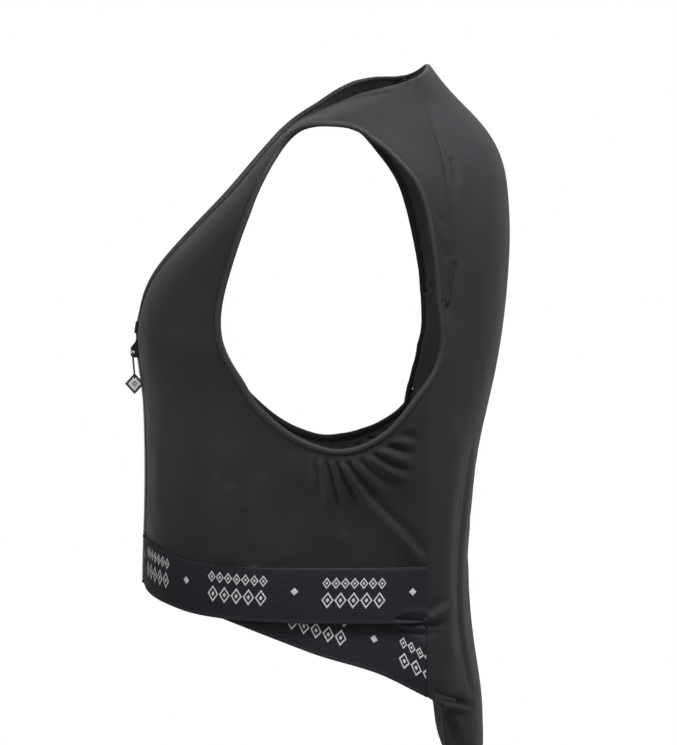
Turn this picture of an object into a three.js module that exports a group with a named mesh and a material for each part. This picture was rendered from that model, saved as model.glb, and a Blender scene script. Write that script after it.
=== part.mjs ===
// A riding body protector, shown as it is worn: stretch front panels with a centre zip, a padded
// back panel with a tail, and two elastic bands. Millimetres, +Z up. The wearer faces -Y and the
// wearer's left side is +X. The origin lies between the shoulders, which carry the garment.
import * as THREE from 'three';

// Driving sizes
const garmentLength = 586;
const chestDepth = 284;
const chestWidth = 312;
const fabricThickness = 2;
const wingThickness = 3;
const padThickness = 20;
const padStand = 6;
const bindingWidth = 4.2;
const bindingThickness = 3.2;
const elasticWidth = 43;
const elasticThickness = 2;
const elasticStand = 0.8;
const teethWidth = 5;
const teethStand = 2;
const tapeWidth = 10;
const tapeThickness = 0.8;
const tapeShowing = 2.2;
const sliderWidth = 7;
const sliderLength = 13.5;
const sliderPlate = 2.4;
const bridgeStand = 3.4;
const cordDiameter = 1.6;
const cordClearance = 0.5;
const tagWidth = 15;
const tagHeight = 16.5;
const tagThickness = 2;
const gap = 0.3;
const tapeGap = 0.8;
const seamGap = 0.5;

// The body that the garment is stretched over, a row for each height. down is a share of
// garmentLength below the origin, front, back and axis are shares of chestDepth along Y, and
// wide is a share of half of chestWidth. The bulks square the front and back halves off.
const bodySections = [
  { down: -0.058, front: 0.070, back: 0.254, axis: 0.211, wide: 0.330, frontBulk: 2.6, backBulk: 2.2 },
  { down: -0.039, front: 0.092, back: 0.282, axis: 0.201, wide: 0.500, frontBulk: 2.8, backBulk: 2.2 },
  { down: -0.026, front: 0.039, back: 0.299, axis: 0.148, wide: 0.577, frontBulk: 3.0, backBulk: 2.2 },
  { down: -0.009, front: -0.017, back: 0.324, axis: 0.070, wide: 0.673, frontBulk: 3.2, backBulk: 2.2 },
  { down: 0.024, front: -0.120, back: 0.384, axis: -0.018, wide: 0.853, frontBulk: 4.2, backBulk: 2.2 },
  { down: 0.051, front: -0.172, back: 0.421, axis: -0.014, wide: 0.910, frontBulk: 4.8, backBulk: 2.3 },
  { down: 0.073, front: -0.213, back: 0.440, axis: -0.014, wide: 0.942, frontBulk: 4.6, backBulk: 2.4 },
  { down: 0.119, front: -0.296, back: 0.454, axis: -0.007, wide: 0.981, frontBulk: 3.8, backBulk: 2.5 },
  { down: 0.171, front: -0.401, back: 0.459, axis: 0.000, wide: 1.000, frontBulk: 3.2, backBulk: 2.5 },
  { down: 0.230, front: -0.503, back: 0.452, axis: 0.000, wide: 1.000, frontBulk: 2.7, backBulk: 2.5 },
  { down: 0.290, front: -0.537, back: 0.438, axis: 0.000, wide: 1.000, frontBulk: 2.5, backBulk: 2.5 },
  { down: 0.324, front: -0.538, back: 0.426, axis: 0.000, wide: 0.987, frontBulk: 2.5, backBulk: 2.6 },
  { down: 0.384, front: -0.523, back: 0.398, axis: 0.007, wide: 0.962, frontBulk: 2.5, backBulk: 2.8 },
  { down: 0.447, front: -0.518, back: 0.368, axis: 0.014, wide: 0.929, frontBulk: 2.5, backBulk: 3.1 },
  { down: 0.526, front: -0.518, back: 0.347, axis: 0.021, wide: 0.885, frontBulk: 2.5, backBulk: 3.5 },
  { down: 0.606, front: -0.523, back: 0.338, axis: 0.028, wide: 0.853, frontBulk: 2.5, backBulk: 3.8 },
  { down: 0.683, front: -0.523, back: 0.345, axis: 0.028, wide: 0.833, frontBulk: 2.5, backBulk: 3.8 },
  { down: 0.776, front: -0.514, back: 0.373, axis: 0.028, wide: 0.820, frontBulk: 2.5, backBulk: 3.3 },
  { down: 0.819, front: -0.514, back: 0.386, axis: 0.028, wide: 0.740, frontBulk: 2.5, backBulk: 3.0 },
  { down: 0.887, front: -0.514, back: 0.377, axis: 0.028, wide: 0.690, frontBulk: 2.5, backBulk: 3.0 },
  { down: 0.945, front: -0.514, back: 0.359, axis: 0.028, wide: 0.667, frontBulk: 2.5, backBulk: 3.0 },
];

// The armhole's edge in side view, from behind the arm up, over the shoulder, down the front and
// back under the arm. back is a share of chestDepth along Y, down one of garmentLength.
const armholeEdge = [
  { back: 0.263, down: 0.257 },
  { back: 0.257, down: 0.215 },
  { back: 0.246, down: 0.175 },
  { back: 0.230, down: 0.130 },
  { back: 0.209, down: 0.100 },
  { back: 0.180, down: 0.077 },
  { back: 0.149, down: 0.056 },
  { back: 0.116, down: 0.039 },
  { back: 0.072, down: 0.028 },
  { back: 0.021, down: 0.022 },
  { back: -0.047, down: 0.021 },
  { back: -0.104, down: 0.029 },
  { back: -0.153, down: 0.050 },
  { back: -0.199, down: 0.085 },
  { back: -0.249, down: 0.138 },
  { back: -0.288, down: 0.193 },
  { back: -0.317, down: 0.245 },
  { back: -0.325, down: 0.275 },
  { back: -0.321, down: 0.302 },
  { back: -0.298, down: 0.331 },
  { back: -0.262, down: 0.360 },
  { back: -0.230, down: 0.387 },
  { back: -0.178, down: 0.412 },
  { back: -0.127, down: 0.430 },
  { back: -0.074, down: 0.442 },
  { back: -0.019, down: 0.449 },
  { back: 0.034, down: 0.447 },
  { back: 0.082, down: 0.438 },
  { back: 0.127, down: 0.424 },
  { back: 0.173, down: 0.400 },
  { back: 0.207, down: 0.378 },
  { back: 0.240, down: 0.359 },
  { back: 0.265, down: 0.338 },
  { back: 0.278, down: 0.310 },
  { back: 0.272, down: 0.284 },
];

// The seam between the strap and the back panel in side view, from its low end to the neck
const backSeam = [
  { back: 0.292, down: 0.251 },
  { back: 0.298, down: 0.222 },
  { back: 0.303, down: 0.183 },
  { back: 0.309, down: 0.146 },
  { back: 0.308, down: 0.110 },
  { back: 0.299, down: 0.075 },
  { back: 0.277, down: 0.042 },
  { back: 0.250, down: 0.010 },
  { back: 0.215, down: -0.039 },
];

// The neckline from the back panel over the shoulder down to the zip. across is a share of half
// of chestWidth.
const neckline = [
  { across: 0.494, back: 0.215, down: -0.039 },
  { across: 0.515, back: 0.176, down: -0.037 },
  { across: 0.535, back: 0.102, down: -0.031 },
  { across: 0.540, back: 0.055, down: -0.025 },
  { across: 0.530, back: -0.002, down: -0.013 },
  { across: 0.505, back: -0.060, down: 0.005 },
  { across: 0.468, back: -0.118, down: 0.025 },
  { across: 0.410, back: -0.162, down: 0.048 },
  { across: 0.350, back: -0.208, down: 0.077 },
  { across: 0.275, back: -0.296, down: 0.119 },
  { across: 0.205, back: -0.394, down: 0.167 },
  { across: 0.150, back: -0.467, down: 0.208 },
  { across: 0.105, back: -0.518, down: 0.242 },
  { across: 0.065, back: -0.542, down: 0.268 },
  { across: 0.038, back: -0.546, down: 0.290 },
];

// The seam down the side, a share of chestDepth along Y
const sideSeamBack = 0.235;

// The waistband from the zip round to the side seam. top is a share of garmentLength, and width
// is a share of elasticWidth, because the elastic leans in under the bust.
const waistband = [
  { along: 0.00, top: 0.571, width: 0.89 },
  { along: 0.16, top: 0.582, width: 0.93 },
  { along: 0.27, top: 0.593, width: 0.90 },
  { along: 0.35, top: 0.600, width: 0.90 },
  { along: 0.47, top: 0.605, width: 0.92 },
  { along: 0.70, top: 0.607, width: 0.97 },
  { along: 1.00, top: 0.605, width: 1.00 },
];

// The kidney belt from the front, where the waistband hides it, back to the side seam. bottom is
// a share of garmentLength, and width is a share of elasticWidth measured straight up.
const kidneyBelt = [
  { along: 0.00, bottom: 0.622, width: 1.00 },
  { along: 0.18, bottom: 0.643, width: 1.00 },
  { along: 0.35, bottom: 0.657, width: 1.02 },
  { along: 0.45, bottom: 0.671, width: 1.05 },
  { along: 0.55, bottom: 0.686, width: 1.06 },
  { along: 0.70, bottom: 0.714, width: 1.07 },
  { along: 0.85, bottom: 0.751, width: 1.14 },
  { along: 1.00, bottom: 0.777, width: 1.30 },
];

// The tail's edge below the kidney belt, half its width as a share of half of chestWidth
const tailEdge = [
  { half: 0.712, down: 0.788 },
  { half: 0.668, down: 0.799 },
  { half: 0.632, down: 0.819 },
  { half: 0.598, down: 0.845 },
  { half: 0.520, down: 0.876 },
  { half: 0.430, down: 0.905 },
  { half: 0.300, down: 0.929 },
  { half: 0.120, down: 0.944 },
];

// The pad inside the back panel, a row for each height. half is a share of half of chestWidth,
// soft is how far its edge slopes, as a share of the same.
const padEdge = [
  { down: -0.050, half: 0.300, soft: 0.300 },
  { down: 0.030, half: 0.520, soft: 0.300 },
  { down: 0.110, half: 0.660, soft: 0.260 },
  { down: 0.230, half: 0.670, soft: 0.240 },
  { down: 0.360, half: 0.590, soft: 0.160 },
  { down: 0.500, half: 0.500, soft: 0.090 },
  { down: 0.610, half: 0.470, soft: 0.080 },
  { down: 0.760, half: 0.500, soft: 0.080 },
  { down: 0.840, half: 0.480, soft: 0.080 },
  { down: 0.890, half: 0.370, soft: 0.080 },
  { down: 0.930, half: 0.120, soft: 0.080 },
];

// Folds that gather under the arm, and a crease over the tail. back is a share of chestDepth,
// down one of garmentLength, and width and height are shares of foldHeight.
const foldHeight = 2;
const folds = [
  { back: -0.137, down: 0.453, toBack: -0.137, toDown: 0.500, width: 1.9, height: 0.6 },
  { back: -0.083, down: 0.459, toBack: -0.080, toDown: 0.505, width: 1.7, height: 0.8 },
  { back: -0.060, down: 0.461, toBack: -0.022, toDown: 0.560, width: 1.8, height: 1.1 },
  { back: -0.028, down: 0.462, toBack: 0.016, toDown: 0.540, width: 1.6, height: 1.0 },
  { back: -0.004, down: 0.462, toBack: 0.110, toDown: 0.545, width: 2.2, height: 1.5 },
  { back: 0.062, down: 0.508, toBack: 0.240, toDown: 0.612, width: 2.6, height: 1.4 },
  { back: 0.040, down: 0.462, toBack: 0.110, toDown: 0.500, width: 1.8, height: 0.9 },
  { back: 0.070, down: 0.457, toBack: 0.225, toDown: 0.494, width: 2.0, height: 1.2 },
  { back: 0.115, down: 0.448, toBack: 0.225, toDown: 0.470, width: 1.8, height: 1.1 },
  { back: 0.135, down: 0.434, toBack: 0.225, toDown: 0.444, width: 1.6, height: 0.8 },
  { back: -0.303, down: 0.505, toBack: -0.300, toDown: 0.620, width: 3.8, height: 0.8 },
  { back: 0.250, down: 0.798, toBack: 0.420, toDown: 0.822, width: 3.0, height: -1.3 },
];

// The bust, as shares of half of chestWidth, garmentLength and chestDepth
const bust = { across: 0.53, down: 0.312, spreadAcross: 0.30, spreadDown: 0.066, height: 0.036 };

// The slope of one column of a table at a row, from the rows beside it
function slopeAt(table, key, column, i) {
  const before = table[i][key] - table[i - 1][key];
  const after = table[i + 1][key] - table[i][key];
  const slopeBefore = (table[i][column] - table[i - 1][column]) / before;
  const slopeAfter = (table[i + 1][column] - table[i][column]) / after;
  return (slopeBefore * after + slopeAfter * before) / (before + after);
}

// Every column of a table at one value of its key column, smooth between the rows
function readTable(table, key, at) {
  const last = table.length - 1;
  const place = THREE.MathUtils.clamp(at, table[0][key], table[last][key]);
  let i = 0;
  while (i < last - 1 && table[i + 1][key] < place) i += 1;
  const span = table[i + 1][key] - table[i][key];
  const t = (place - table[i][key]) / span;
  const result = {};
  for (const column of Object.keys(table[i])) {
    const from = table[i][column];
    const to = table[i + 1][column];
    const chord = to - from;
    const leave = i > 0 ? slopeAt(table, key, column, i) * span : chord;
    const arrive = i + 1 < last ? slopeAt(table, key, column, i + 1) * span : chord;
    result[column] = from + t * leave
      + t * t * (3 * chord - 2 * leave - arrive) + t * t * t * (leave + arrive - 2 * chord);
  }
  return result;
}

function sectionAt(down) {
  const row = readTable(bodySections, 'down', down);
  return {
    axis: row.axis * chestDepth,
    frontReach: (row.front - row.axis) * chestDepth,
    backReach: (row.back - row.axis) * chestDepth,
    half: row.wide * chestWidth / 2,
    frontBulk: row.frontBulk,
    backBulk: row.backBulk,
  };
}

// A place on the body is a turn from the centre front and a share of the length down
function bodyPoint(place) {
  const section = sectionAt(place.down);
  const ahead = Math.cos(place.turn);
  const aside = Math.sin(place.turn);
  const bulk = ahead > 0 ? section.frontBulk : section.backBulk;
  const reach = ahead > 0 ? section.frontReach : section.backReach;
  return new THREE.Vector3(
    Math.sign(aside) * section.half * Math.abs(aside) ** (2 / bulk),
    section.axis + reach * Math.abs(ahead) ** (2 / bulk),
    -place.down * garmentLength);
}

// The place on the body level with a point and in line with it from the middle
function placeOf(point) {
  const down = -point.z / garmentLength;
  const section = sectionAt(down);
  const inFront = point.y < section.axis;
  const bulk = inFront ? section.frontBulk : section.backBulk;
  const reach = inFront ? section.frontReach : section.backReach;
  const wide = (Math.abs(point.x) / section.half) ** (bulk / 2);
  const deep = ((point.y - section.axis) / reach) ** (bulk / 2);
  const turn = Math.atan2(wide, inFront ? deep : -deep);
  return { turn: point.x < 0 ? -turn : turn, down };
}

// The place on the wearer's left that shows at a point of the side view
function placeFromSide(y, z) {
  const down = -z / garmentLength;
  const section = sectionAt(down);
  const inFront = y < section.axis;
  const bulk = inFront ? section.frontBulk : section.backBulk;
  const reach = inFront ? section.frontReach : section.backReach;
  const turn = Math.acos(Math.min((y - section.axis) / reach, 1) ** (bulk / 2));
  return { turn: inFront ? turn : Math.PI - turn, down };
}

// The place on the back that lies a distance from the middle
function placeFromBack(x, down) {
  const section = sectionAt(down);
  return { turn: Math.PI - Math.asin((x / section.half) ** (section.backBulk / 2)), down };
}

function normalAt(place) {
  const turnStep = 0.01;
  const downStep = 0.003;
  const alongTurn = bodyPoint({ turn: place.turn + turnStep, down: place.down })
    .sub(bodyPoint({ turn: place.turn - turnStep, down: place.down }));
  const alongDown = bodyPoint({ turn: place.turn, down: place.down + downStep })
    .sub(bodyPoint({ turn: place.turn, down: place.down - downStep }));
  return alongDown.cross(alongTurn).normalize();
}

// How far one fold lifts the fabric at a point of the side view
function foldLift(fold, y, z) {
  const start = new THREE.Vector2(fold.back * chestDepth, -fold.down * garmentLength);
  const end = new THREE.Vector2(fold.toBack * chestDepth, -fold.toDown * garmentLength);
  const run = end.clone().sub(start);
  const offset = new THREE.Vector2(y, z).sub(start);
  const share = offset.dot(run) / run.lengthSq();
  const aside = offset.addScaledVector(run, -share).length() / (fold.width * foldHeight);
  const fade = THREE.MathUtils.smoothstep(share, -0.05, 0.2)
    * (1 - THREE.MathUtils.smoothstep(share, 0.6, 1.05));
  return fold.height * foldHeight * fade * Math.exp(-aside * aside);
}

// The bust and the folds, outward from the plain body
function relief(point) {
  let lift = 0;
  for (const fold of folds) lift += foldLift(fold, point.y, point.z);
  if (point.y < 0) {
    const across = (Math.abs(point.x) / (chestWidth / 2) - bust.across) / bust.spreadAcross;
    const down = (-point.z / garmentLength - bust.down) / bust.spreadDown;
    lift += bust.height * chestDepth * Math.exp(-across * across - down * down);
  }
  return lift;
}

// A point of the garment, out from the body's surface by a distance
function garmentPoint(place, out = 0) {
  const point = bodyPoint(place);
  return point.addScaledVector(normalAt(place), out + relief(point));
}

// The place whose garment point lies straight under a point near the garment
function placeUnder(target) {
  const aim = target.clone();
  let place = placeOf(aim);
  for (let i = 0; i < 3; i += 1) {
    const miss = target.clone().sub(garmentPoint(place));
    aim.add(miss.projectOnPlane(normalAt(place)));
    place = placeOf(aim);
  }
  return place;
}

// A smooth curve through a table's rows, as a function from a share of its length to a place
function sideCurve(table, closed) {
  const points = table.map((row) => new THREE.Vector3(
    0, row.back * chestDepth, -row.down * garmentLength));
  const curve = new THREE.CatmullRomCurve3(points, closed, 'centripetal');
  return (share) => {
    const point = curve.getPointAt(closed ? share - Math.floor(share) : share);
    return placeFromSide(point.y, point.z);
  };
}

function necklineCurve() {
  const points = neckline.map((row) => new THREE.Vector3(
    row.across * chestWidth / 2, row.back * chestDepth, -row.down * garmentLength));
  const curve = new THREE.CatmullRomCurve3(points, false, 'centripetal');
  return (share) => placeOf(curve.getPointAt(share));
}

const armholeAt = sideCurve(armholeEdge, true);
const backSeamAt = sideCurve(backSeam, false);
const necklineAt = necklineCurve();

// Where an edge of the garment lies, its direction, and the way to its own right along the fabric
function edgeFrame(curve, share, closed) {
  const step = 0.004;
  const before = closed ? share - step : Math.max(share - step, 0);
  const after = closed ? share + step : Math.min(share + step, 1);
  const place = curve(share);
  const point = garmentPoint(place);
  const ahead = garmentPoint(curve(after)).sub(garmentPoint(curve(before))).normalize();
  const outward = normalAt(place);
  const aside = ahead.clone().cross(outward).normalize();
  return { point, ahead, outward, aside };
}

// The place beside an edge, a distance to its right
function besideEdge(curve, share, distance, closed = false) {
  const frame = edgeFrame(curve, share, closed);
  return placeUnder(frame.point.addScaledVector(frame.aside, distance));
}

// Whether the triangles of a closed solid enclose it clockwise, so that they face inward
function facesInward(points, triangles) {
  let volume = 0;
  for (const [a, b, c] of triangles) volume += points[a].dot(points[b].clone().cross(points[c]));
  return volume < 0;
}

// A closed solid through rings of points, capped at both ends or joined end to end
function loft(rings, closed = false) {
  const size = rings[0].length;
  const points = rings.flat();
  const triangles = [];
  const quad = (a, b, c, d) => triangles.push([a, b, c], [a, c, d]);
  const sections = closed ? rings.length : rings.length - 1;
  for (let i = 0; i < sections; i += 1) {
    const here = i * size;
    const next = ((i + 1) % rings.length) * size;
    for (let j = 0; j < size; j += 1) {
      const k = (j + 1) % size;
      quad(here + j, here + k, next + k, next + j);
    }
  }
  if (!closed) {
    const last = (rings.length - 1) * size;
    for (let j = 0; j < size / 2 - 1; j += 1) {
      const k = size - 1 - j;
      quad(k, k - 1, j + 1, j);
      quad(last + j, last + j + 1, last + k - 1, last + k);
    }
  }
  if (facesInward(points, triangles)) triangles.forEach((triangle) => triangle.reverse());
  const geometry = new THREE.BufferGeometry().setFromPoints(points);
  geometry.setIndex(triangles.flat());
  return geometry;
}

// The same solid on the wearer's other side
function mirrored(geometry) {
  const copy = geometry.clone();
  copy.scale(-1, 1, 1);
  const index = copy.getIndex();
  for (let i = 0; i < index.count; i += 3) {
    const first = index.getX(i);
    index.setX(i, index.getX(i + 1));
    index.setX(i + 1, first);
  }
  return copy;
}

// A ring round a strip of fabric, out along its outer face and back along its inner one
function stripRing(places, outer, inner) {
  const front = places.map((place, i) => garmentPoint(place, outer(i)));
  const back = places.map((place, i) => garmentPoint(place, inner(i)));
  return [...front, ...back.reverse()];
}

function shares(count) {
  return Array.from({ length: count }, (_, i) => i / (count - 1));
}

// The waistband's top and bottom edges at a share of the way from the zip to the side seam
const panelEdgeX = teethWidth / 2 + tapeShowing;
const seamBack = sideSeamBack * chestDepth;

function bandPlace(along, down, startX) {
  const front = bodyPoint({ turn: 0, down });
  const start = placeOf(front.setX(startX));
  const end = placeFromSide(seamBack, -down * garmentLength);
  return { turn: THREE.MathUtils.lerp(start.turn, end.turn, along), down };
}

function waistbandRow(along) {
  const row = readTable(waistband, 'along', along);
  return { top: row.top, bottom: row.top + row.width * elasticWidth / garmentLength };
}

const zipTop = neckline[neckline.length - 1].down + (bindingWidth + gap) / garmentLength;

function centreFrontAt(share) {
  const down = THREE.MathUtils.lerp(zipTop, waistband[0].top - gap / garmentLength, share);
  return placeOf(bodyPoint({ turn: 0, down }).setX(panelEdgeX));
}

function bandTopAt(share) {
  return bandPlace(share, waistbandRow(share).top - gap / garmentLength, panelEdgeX);
}

// The front panel is built of lines that run from the armhole's edge out to the panel's other
// edges. Each row takes a stretch of one edge, with the stretch of armhole that faces it.
const rim = bindingWidth + gap;

function armholeRimAt(share) {
  return besideEdge(armholeAt, share, rim, true);
}

// The share of the armhole, below its rear edge, where its rim crosses a distance back
function armholeShareAt(back) {
  let low = 0.8;
  let high = 0.93;
  for (let i = 0; i < 20; i += 1) {
    const middle = (low + high) / 2;
    if (bodyPoint(armholeRimAt(middle)).y < back) low = middle;
    else high = middle;
  }
  return low;
}

const seamArmholeShare = armholeShareAt(seamBack);
const strapEndGap = 0.0008;
const panelEdges = [
  { edge: 'backSeam', from: 0, to: 1, armhole: strapEndGap, armholeTo: 0.262, steps: 12 },
  { edge: 'neckline', from: 0.02, to: 0.42, armhole: 0.275, armholeTo: 0.385, steps: 8 },
  { edge: 'neckline', from: 0.46, to: 0.995, armhole: 0.400, armholeTo: 0.572, steps: 10 },
  { edge: 'centreFront', from: 0, to: 1, armhole: 0.585, armholeTo: 0.668, steps: 9 },
  { edge: 'bandTop', from: 0.08, to: 0.42, armhole: 0.690, armholeTo: 0.740, steps: 5 },
  { edge: 'bandTop', from: 0.46, to: 1, armhole: 0.752, armholeTo: seamArmholeShare, steps: 20 },
];
const panelEdgePlaces = {
  backSeam: (share) => besideEdge(backSeamAt, share, -seamGap / 2),
  neckline: (share) => besideEdge(necklineAt, share, -rim),
  centreFront: centreFrontAt,
  bandTop: bandTopAt,
};
const panelStations = panelEdges.flatMap((row) => shares(row.steps).map((share) => ({
  edge: row.edge,
  share: THREE.MathUtils.lerp(row.from, row.to, share),
  armhole: THREE.MathUtils.lerp(row.armhole, row.armholeTo, share),
})));
const panelColumns = 9;

// Where the panel's lines meet one of its edges, as shares along that edge
function stationShares(edge) {
  return panelStations.filter((station) => station.edge === edge).map((station) => station.share);
}

function frontPanel() {
  const rings = panelStations.map((station) => {
    const start = garmentPoint(armholeRimAt(station.armhole));
    const end = garmentPoint(panelEdgePlaces[station.edge](station.share));
    const line = shares(panelColumns).map((share) => placeUnder(start.clone().lerp(end, share)));
    return stripRing(line, () => 0, () => -fabricThickness);
  });
  return loft(rings);
}

// A rounded rim that covers an edge, a ring of six points at each share along it
function binding(curve, places, side, closed) {
  const rings = places.map((share) => {
    const { point, outward, aside } = edgeFrame(curve, share, closed);
    const middle = point.clone().addScaledVector(aside, side * bindingWidth / 2)
      .addScaledVector(outward, -fabricThickness / 2);
    return Array.from({ length: 6 }, (_, i) => {
      const angle = (i + 0.5) * Math.PI / 3;
      return middle.clone()
        .addScaledVector(aside, side * Math.sin(angle) * bindingWidth / 2)
        .addScaledVector(outward, Math.cos(angle) * bindingThickness / 2);
    });
  });
  return loft(rings, closed);
}

function waistbandHalf() {
  const steps = 24;
  const rings = shares(steps).map((along) => {
    const { top, bottom } = waistbandRow(along);
    const places = shares(4).map((share) => (
      bandPlace(along * (1 - seamGap / chestWidth), THREE.MathUtils.lerp(top, bottom, share), panelEdgeX)));
    return stripRing(places, () => elasticStand, () => elasticStand - elasticThickness);
  });
  return loft(rings);
}

// The belt lies behind the zip tape and comes out level with the back panel's edge
const beltDepth = fabricThickness + tapeGap + tapeThickness + 2 * gap;

function kidneyBeltHalf() {
  const steps = 24;
  const rings = shares(steps).map((along) => {
    const row = readTable(kidneyBelt, 'along', along);
    const top = row.bottom - row.width * elasticWidth / garmentLength;
    const places = shares(4).map((share) => (
      bandPlace(along * (1 - seamGap / chestWidth), THREE.MathUtils.lerp(top, row.bottom, share), gap)));
    const sunk = beltDepth * (1 - THREE.MathUtils.smoothstep(along, 0.93, 1));
    return stripRing(places, () => -sunk, () => -sunk - elasticThickness);
  });
  return loft(rings);
}

// How much of the pad lies under a point of the back, from 0 beside it to 1 well inside it
function padMask(place) {
  const row = readTable(padEdge, 'down', place.down);
  const across = Math.abs(bodyPoint(place).x) / (chestWidth / 2);
  const inside = THREE.MathUtils.smoothstep((row.half - across) / row.soft, -0.5, 0.5);
  const ends = THREE.MathUtils.smoothstep(place.down, -0.045, 0.06)
    * (1 - THREE.MathUtils.smoothstep(place.down, 0.912, 0.935));
  return inside * ends;
}

// The stretch of armhole that the back panel itself edges, between the front panel's two ends
const backArmholeShares = shares(6).map((share) => (
  THREE.MathUtils.lerp(1 - strapEndGap, armholeShareAt(seamBack + seamGap), share)));
const armholeShares = [
  ...panelStations.map((station) => station.armhole), ...backArmholeShares.toReversed()];

function backPanel() {
  const edge = stationShares('backSeam').toReversed()
    .map((share) => besideEdge(backSeamAt, share, seamGap / 2));
  edge.push(...backArmholeShares.map(armholeRimAt));
  const seamTop = edge[edge.length - 1].down;
  const seamBottom = kidneyBelt[kidneyBelt.length - 1].bottom;
  for (const share of shares(16).slice(1)) {
    const z = -THREE.MathUtils.lerp(seamTop, seamBottom, share) * garmentLength;
    edge.push(placeFromSide(seamBack + seamGap, z));
  }
  for (const row of tailEdge) edge.push(placeFromBack(row.half * chestWidth / 2, row.down));
  const napeRise = 0.016;
  const columns = 15;
  const rings = edge.map((corner) => {
    const rise = napeRise * (1 - THREE.MathUtils.smoothstep(corner.down, -0.04, 0.08));
    const places = shares(columns).map((share) => {
      const across = 2 * share - 1;
      return {
        turn: Math.PI + (Math.PI - corner.turn) * across,
        down: corner.down - rise * (1 - across * across),
      };
    });
    const masks = places.map(padMask);
    return stripRing(places, (i) => padStand * masks[i], (i) => (
      -wingThickness - (padThickness - padStand - wingThickness) * masks[i]));
  });
  return loft(rings);
}

// A bar down the zip's line, between two distances across and two distances out
function zipBar(fromX, toX, outer, inner, from, to, steps) {
  const rings = shares(steps).map((share) => {
    const down = THREE.MathUtils.lerp(from, to, share);
    const middle = bodyPoint({ turn: 0, down });
    const places = [fromX, toX].map((x) => placeOf(new THREE.Vector3(x, middle.y, middle.z)));
    return stripRing(places, () => outer, () => inner);
  });
  return loft(rings);
}

function zipTeeth() {
  const bottom = waistbandRow(0).bottom;
  const rings = shares(18).map((share) => {
    const down = THREE.MathUtils.lerp(zipTop - 0.006, bottom, share);
    const middle = garmentPoint({ turn: 0, down });
    const outward = normalAt({ turn: 0, down });
    const corner = (x, out) => middle.clone().addScaledVector(outward, out)
      .add(new THREE.Vector3(x, 0, 0));
    const half = teethWidth / 2;
    return [
      corner(-half * 0.6, teethStand),
      corner(half * 0.6, teethStand),
      corner(half, teethStand * 0.4),
      corner(half, -beltDepth + gap),
      corner(-half, -beltDepth + gap),
      corner(-half, teethStand * 0.4),
    ];
  });
  return loft(rings);
}

// The slider sits on the teeth, with a bridge that the cord passes through from side to side
const sliderDown = 0.324;
const cordHole = cordDiameter / 2 + cordClearance;
const sliderPlace = { turn: 0, down: sliderDown };
const sliderSeat = garmentPoint(sliderPlace, teethStand + 2 * gap);
const bridgeDrop = sliderLength * 0.2;

// A round hole of flat sides
function roundHole(x, y, radius) {
  const sides = 12;
  return new THREE.Path(Array.from({ length: sides }, (_, i) => {
    const angle = -2 * Math.PI * i / sides;
    return new THREE.Vector2(x + radius * Math.cos(angle), y + radius * Math.sin(angle));
  }));
}

function slider() {
  const plate = new THREE.Shape();
  const half = sliderLength / 2;
  const crown = sliderPlate + bridgeStand;
  plate.moveTo(0, -half);
  plate.lineTo(crown * 0.75, -half);
  plate.lineTo(crown, -half * 0.8);
  plate.lineTo(crown, half * 0.15);
  plate.lineTo(sliderPlate, half * 0.75);
  plate.lineTo(sliderPlate * 0.8, half);
  plate.lineTo(0, half);
  plate.holes.push(roundHole(sliderPlate + bridgeStand / 2, -bridgeDrop, cordHole));
  const geometry = new THREE.ExtrudeGeometry(plate, { depth: sliderWidth, bevelEnabled: false });
  geometry.translate(0, 0, -sliderWidth / 2);
  geometry.rotateX(Math.PI / 2);
  geometry.rotateZ(-Math.PI / 2);
  return geometry;
}

const tagRadius = tagHeight / 2;
const tagHoleInset = 4.4;
const tagCentre = new THREE.Vector3(
  teethWidth / 2 + cordDiameter + tagThickness / 2, sliderSeat.y - 2.8, sliderSeat.z - 27);

function tag() {
  const lozenge = new THREE.Shape();
  lozenge.moveTo(0, tagRadius);
  lozenge.lineTo(-tagWidth / 2, 0);
  lozenge.lineTo(0, -tagRadius);
  lozenge.lineTo(tagWidth / 2, 0);
  lozenge.holes.push(roundHole(0, tagRadius - tagHoleInset, cordHole));
  const geometry = new THREE.ExtrudeGeometry(lozenge, { depth: tagThickness, bevelEnabled: false });
  geometry.translate(0, 0, -tagThickness / 2);
  geometry.rotateX(Math.PI / 2);
  geometry.rotateZ(Math.PI / 2);
  return geometry;
}

// The cord's loop through the slider's bridge and the tag's hole
const cordPoints = () => {
  const top = sliderSeat.clone().add(new THREE.Vector3(
    0, -sliderPlate - bridgeStand / 2, -bridgeDrop));
  const low = tagCentre.clone().add(new THREE.Vector3(0, 0, tagRadius - tagHoleInset));
  const topHalf = sliderWidth / 2 + cordDiameter;
  const lowHalf = tagThickness / 2 + cordDiameter;
  const beside = (point, x, z) => point.clone().add(new THREE.Vector3(x, 0, z));
  return [
    beside(top, 0, 0),
    beside(top, topHalf * 0.7, 0),
    beside(top, topHalf, -cordDiameter),
    beside(low, lowHalf, cordDiameter),
    beside(low, lowHalf * 0.7, 0),
    beside(low, 0, 0),
    beside(low, -lowHalf * 0.7, 0),
    beside(low, -lowHalf, cordDiameter),
    beside(top, -topHalf, -cordDiameter),
    beside(top, -topHalf * 0.7, 0),
  ];
};

function cord() {
  const curve = new THREE.CatmullRomCurve3(cordPoints(), true, 'centripetal');
  const steps = 30;
  const frames = curve.computeFrenetFrames(steps, true);
  const sides = 6;
  const rings = Array.from({ length: steps }, (_, i) => {
    const middle = curve.getPointAt(i / steps);
    return Array.from({ length: sides }, (_, j) => {
      const angle = -2 * Math.PI * j / sides;
      return middle.clone()
        .addScaledVector(frames.normals[i], Math.cos(angle) * cordDiameter / 2)
        .addScaledVector(frames.binormals[i], Math.sin(angle) * cordDiameter / 2);
    });
  });
  return loft(rings, true);
}

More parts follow.
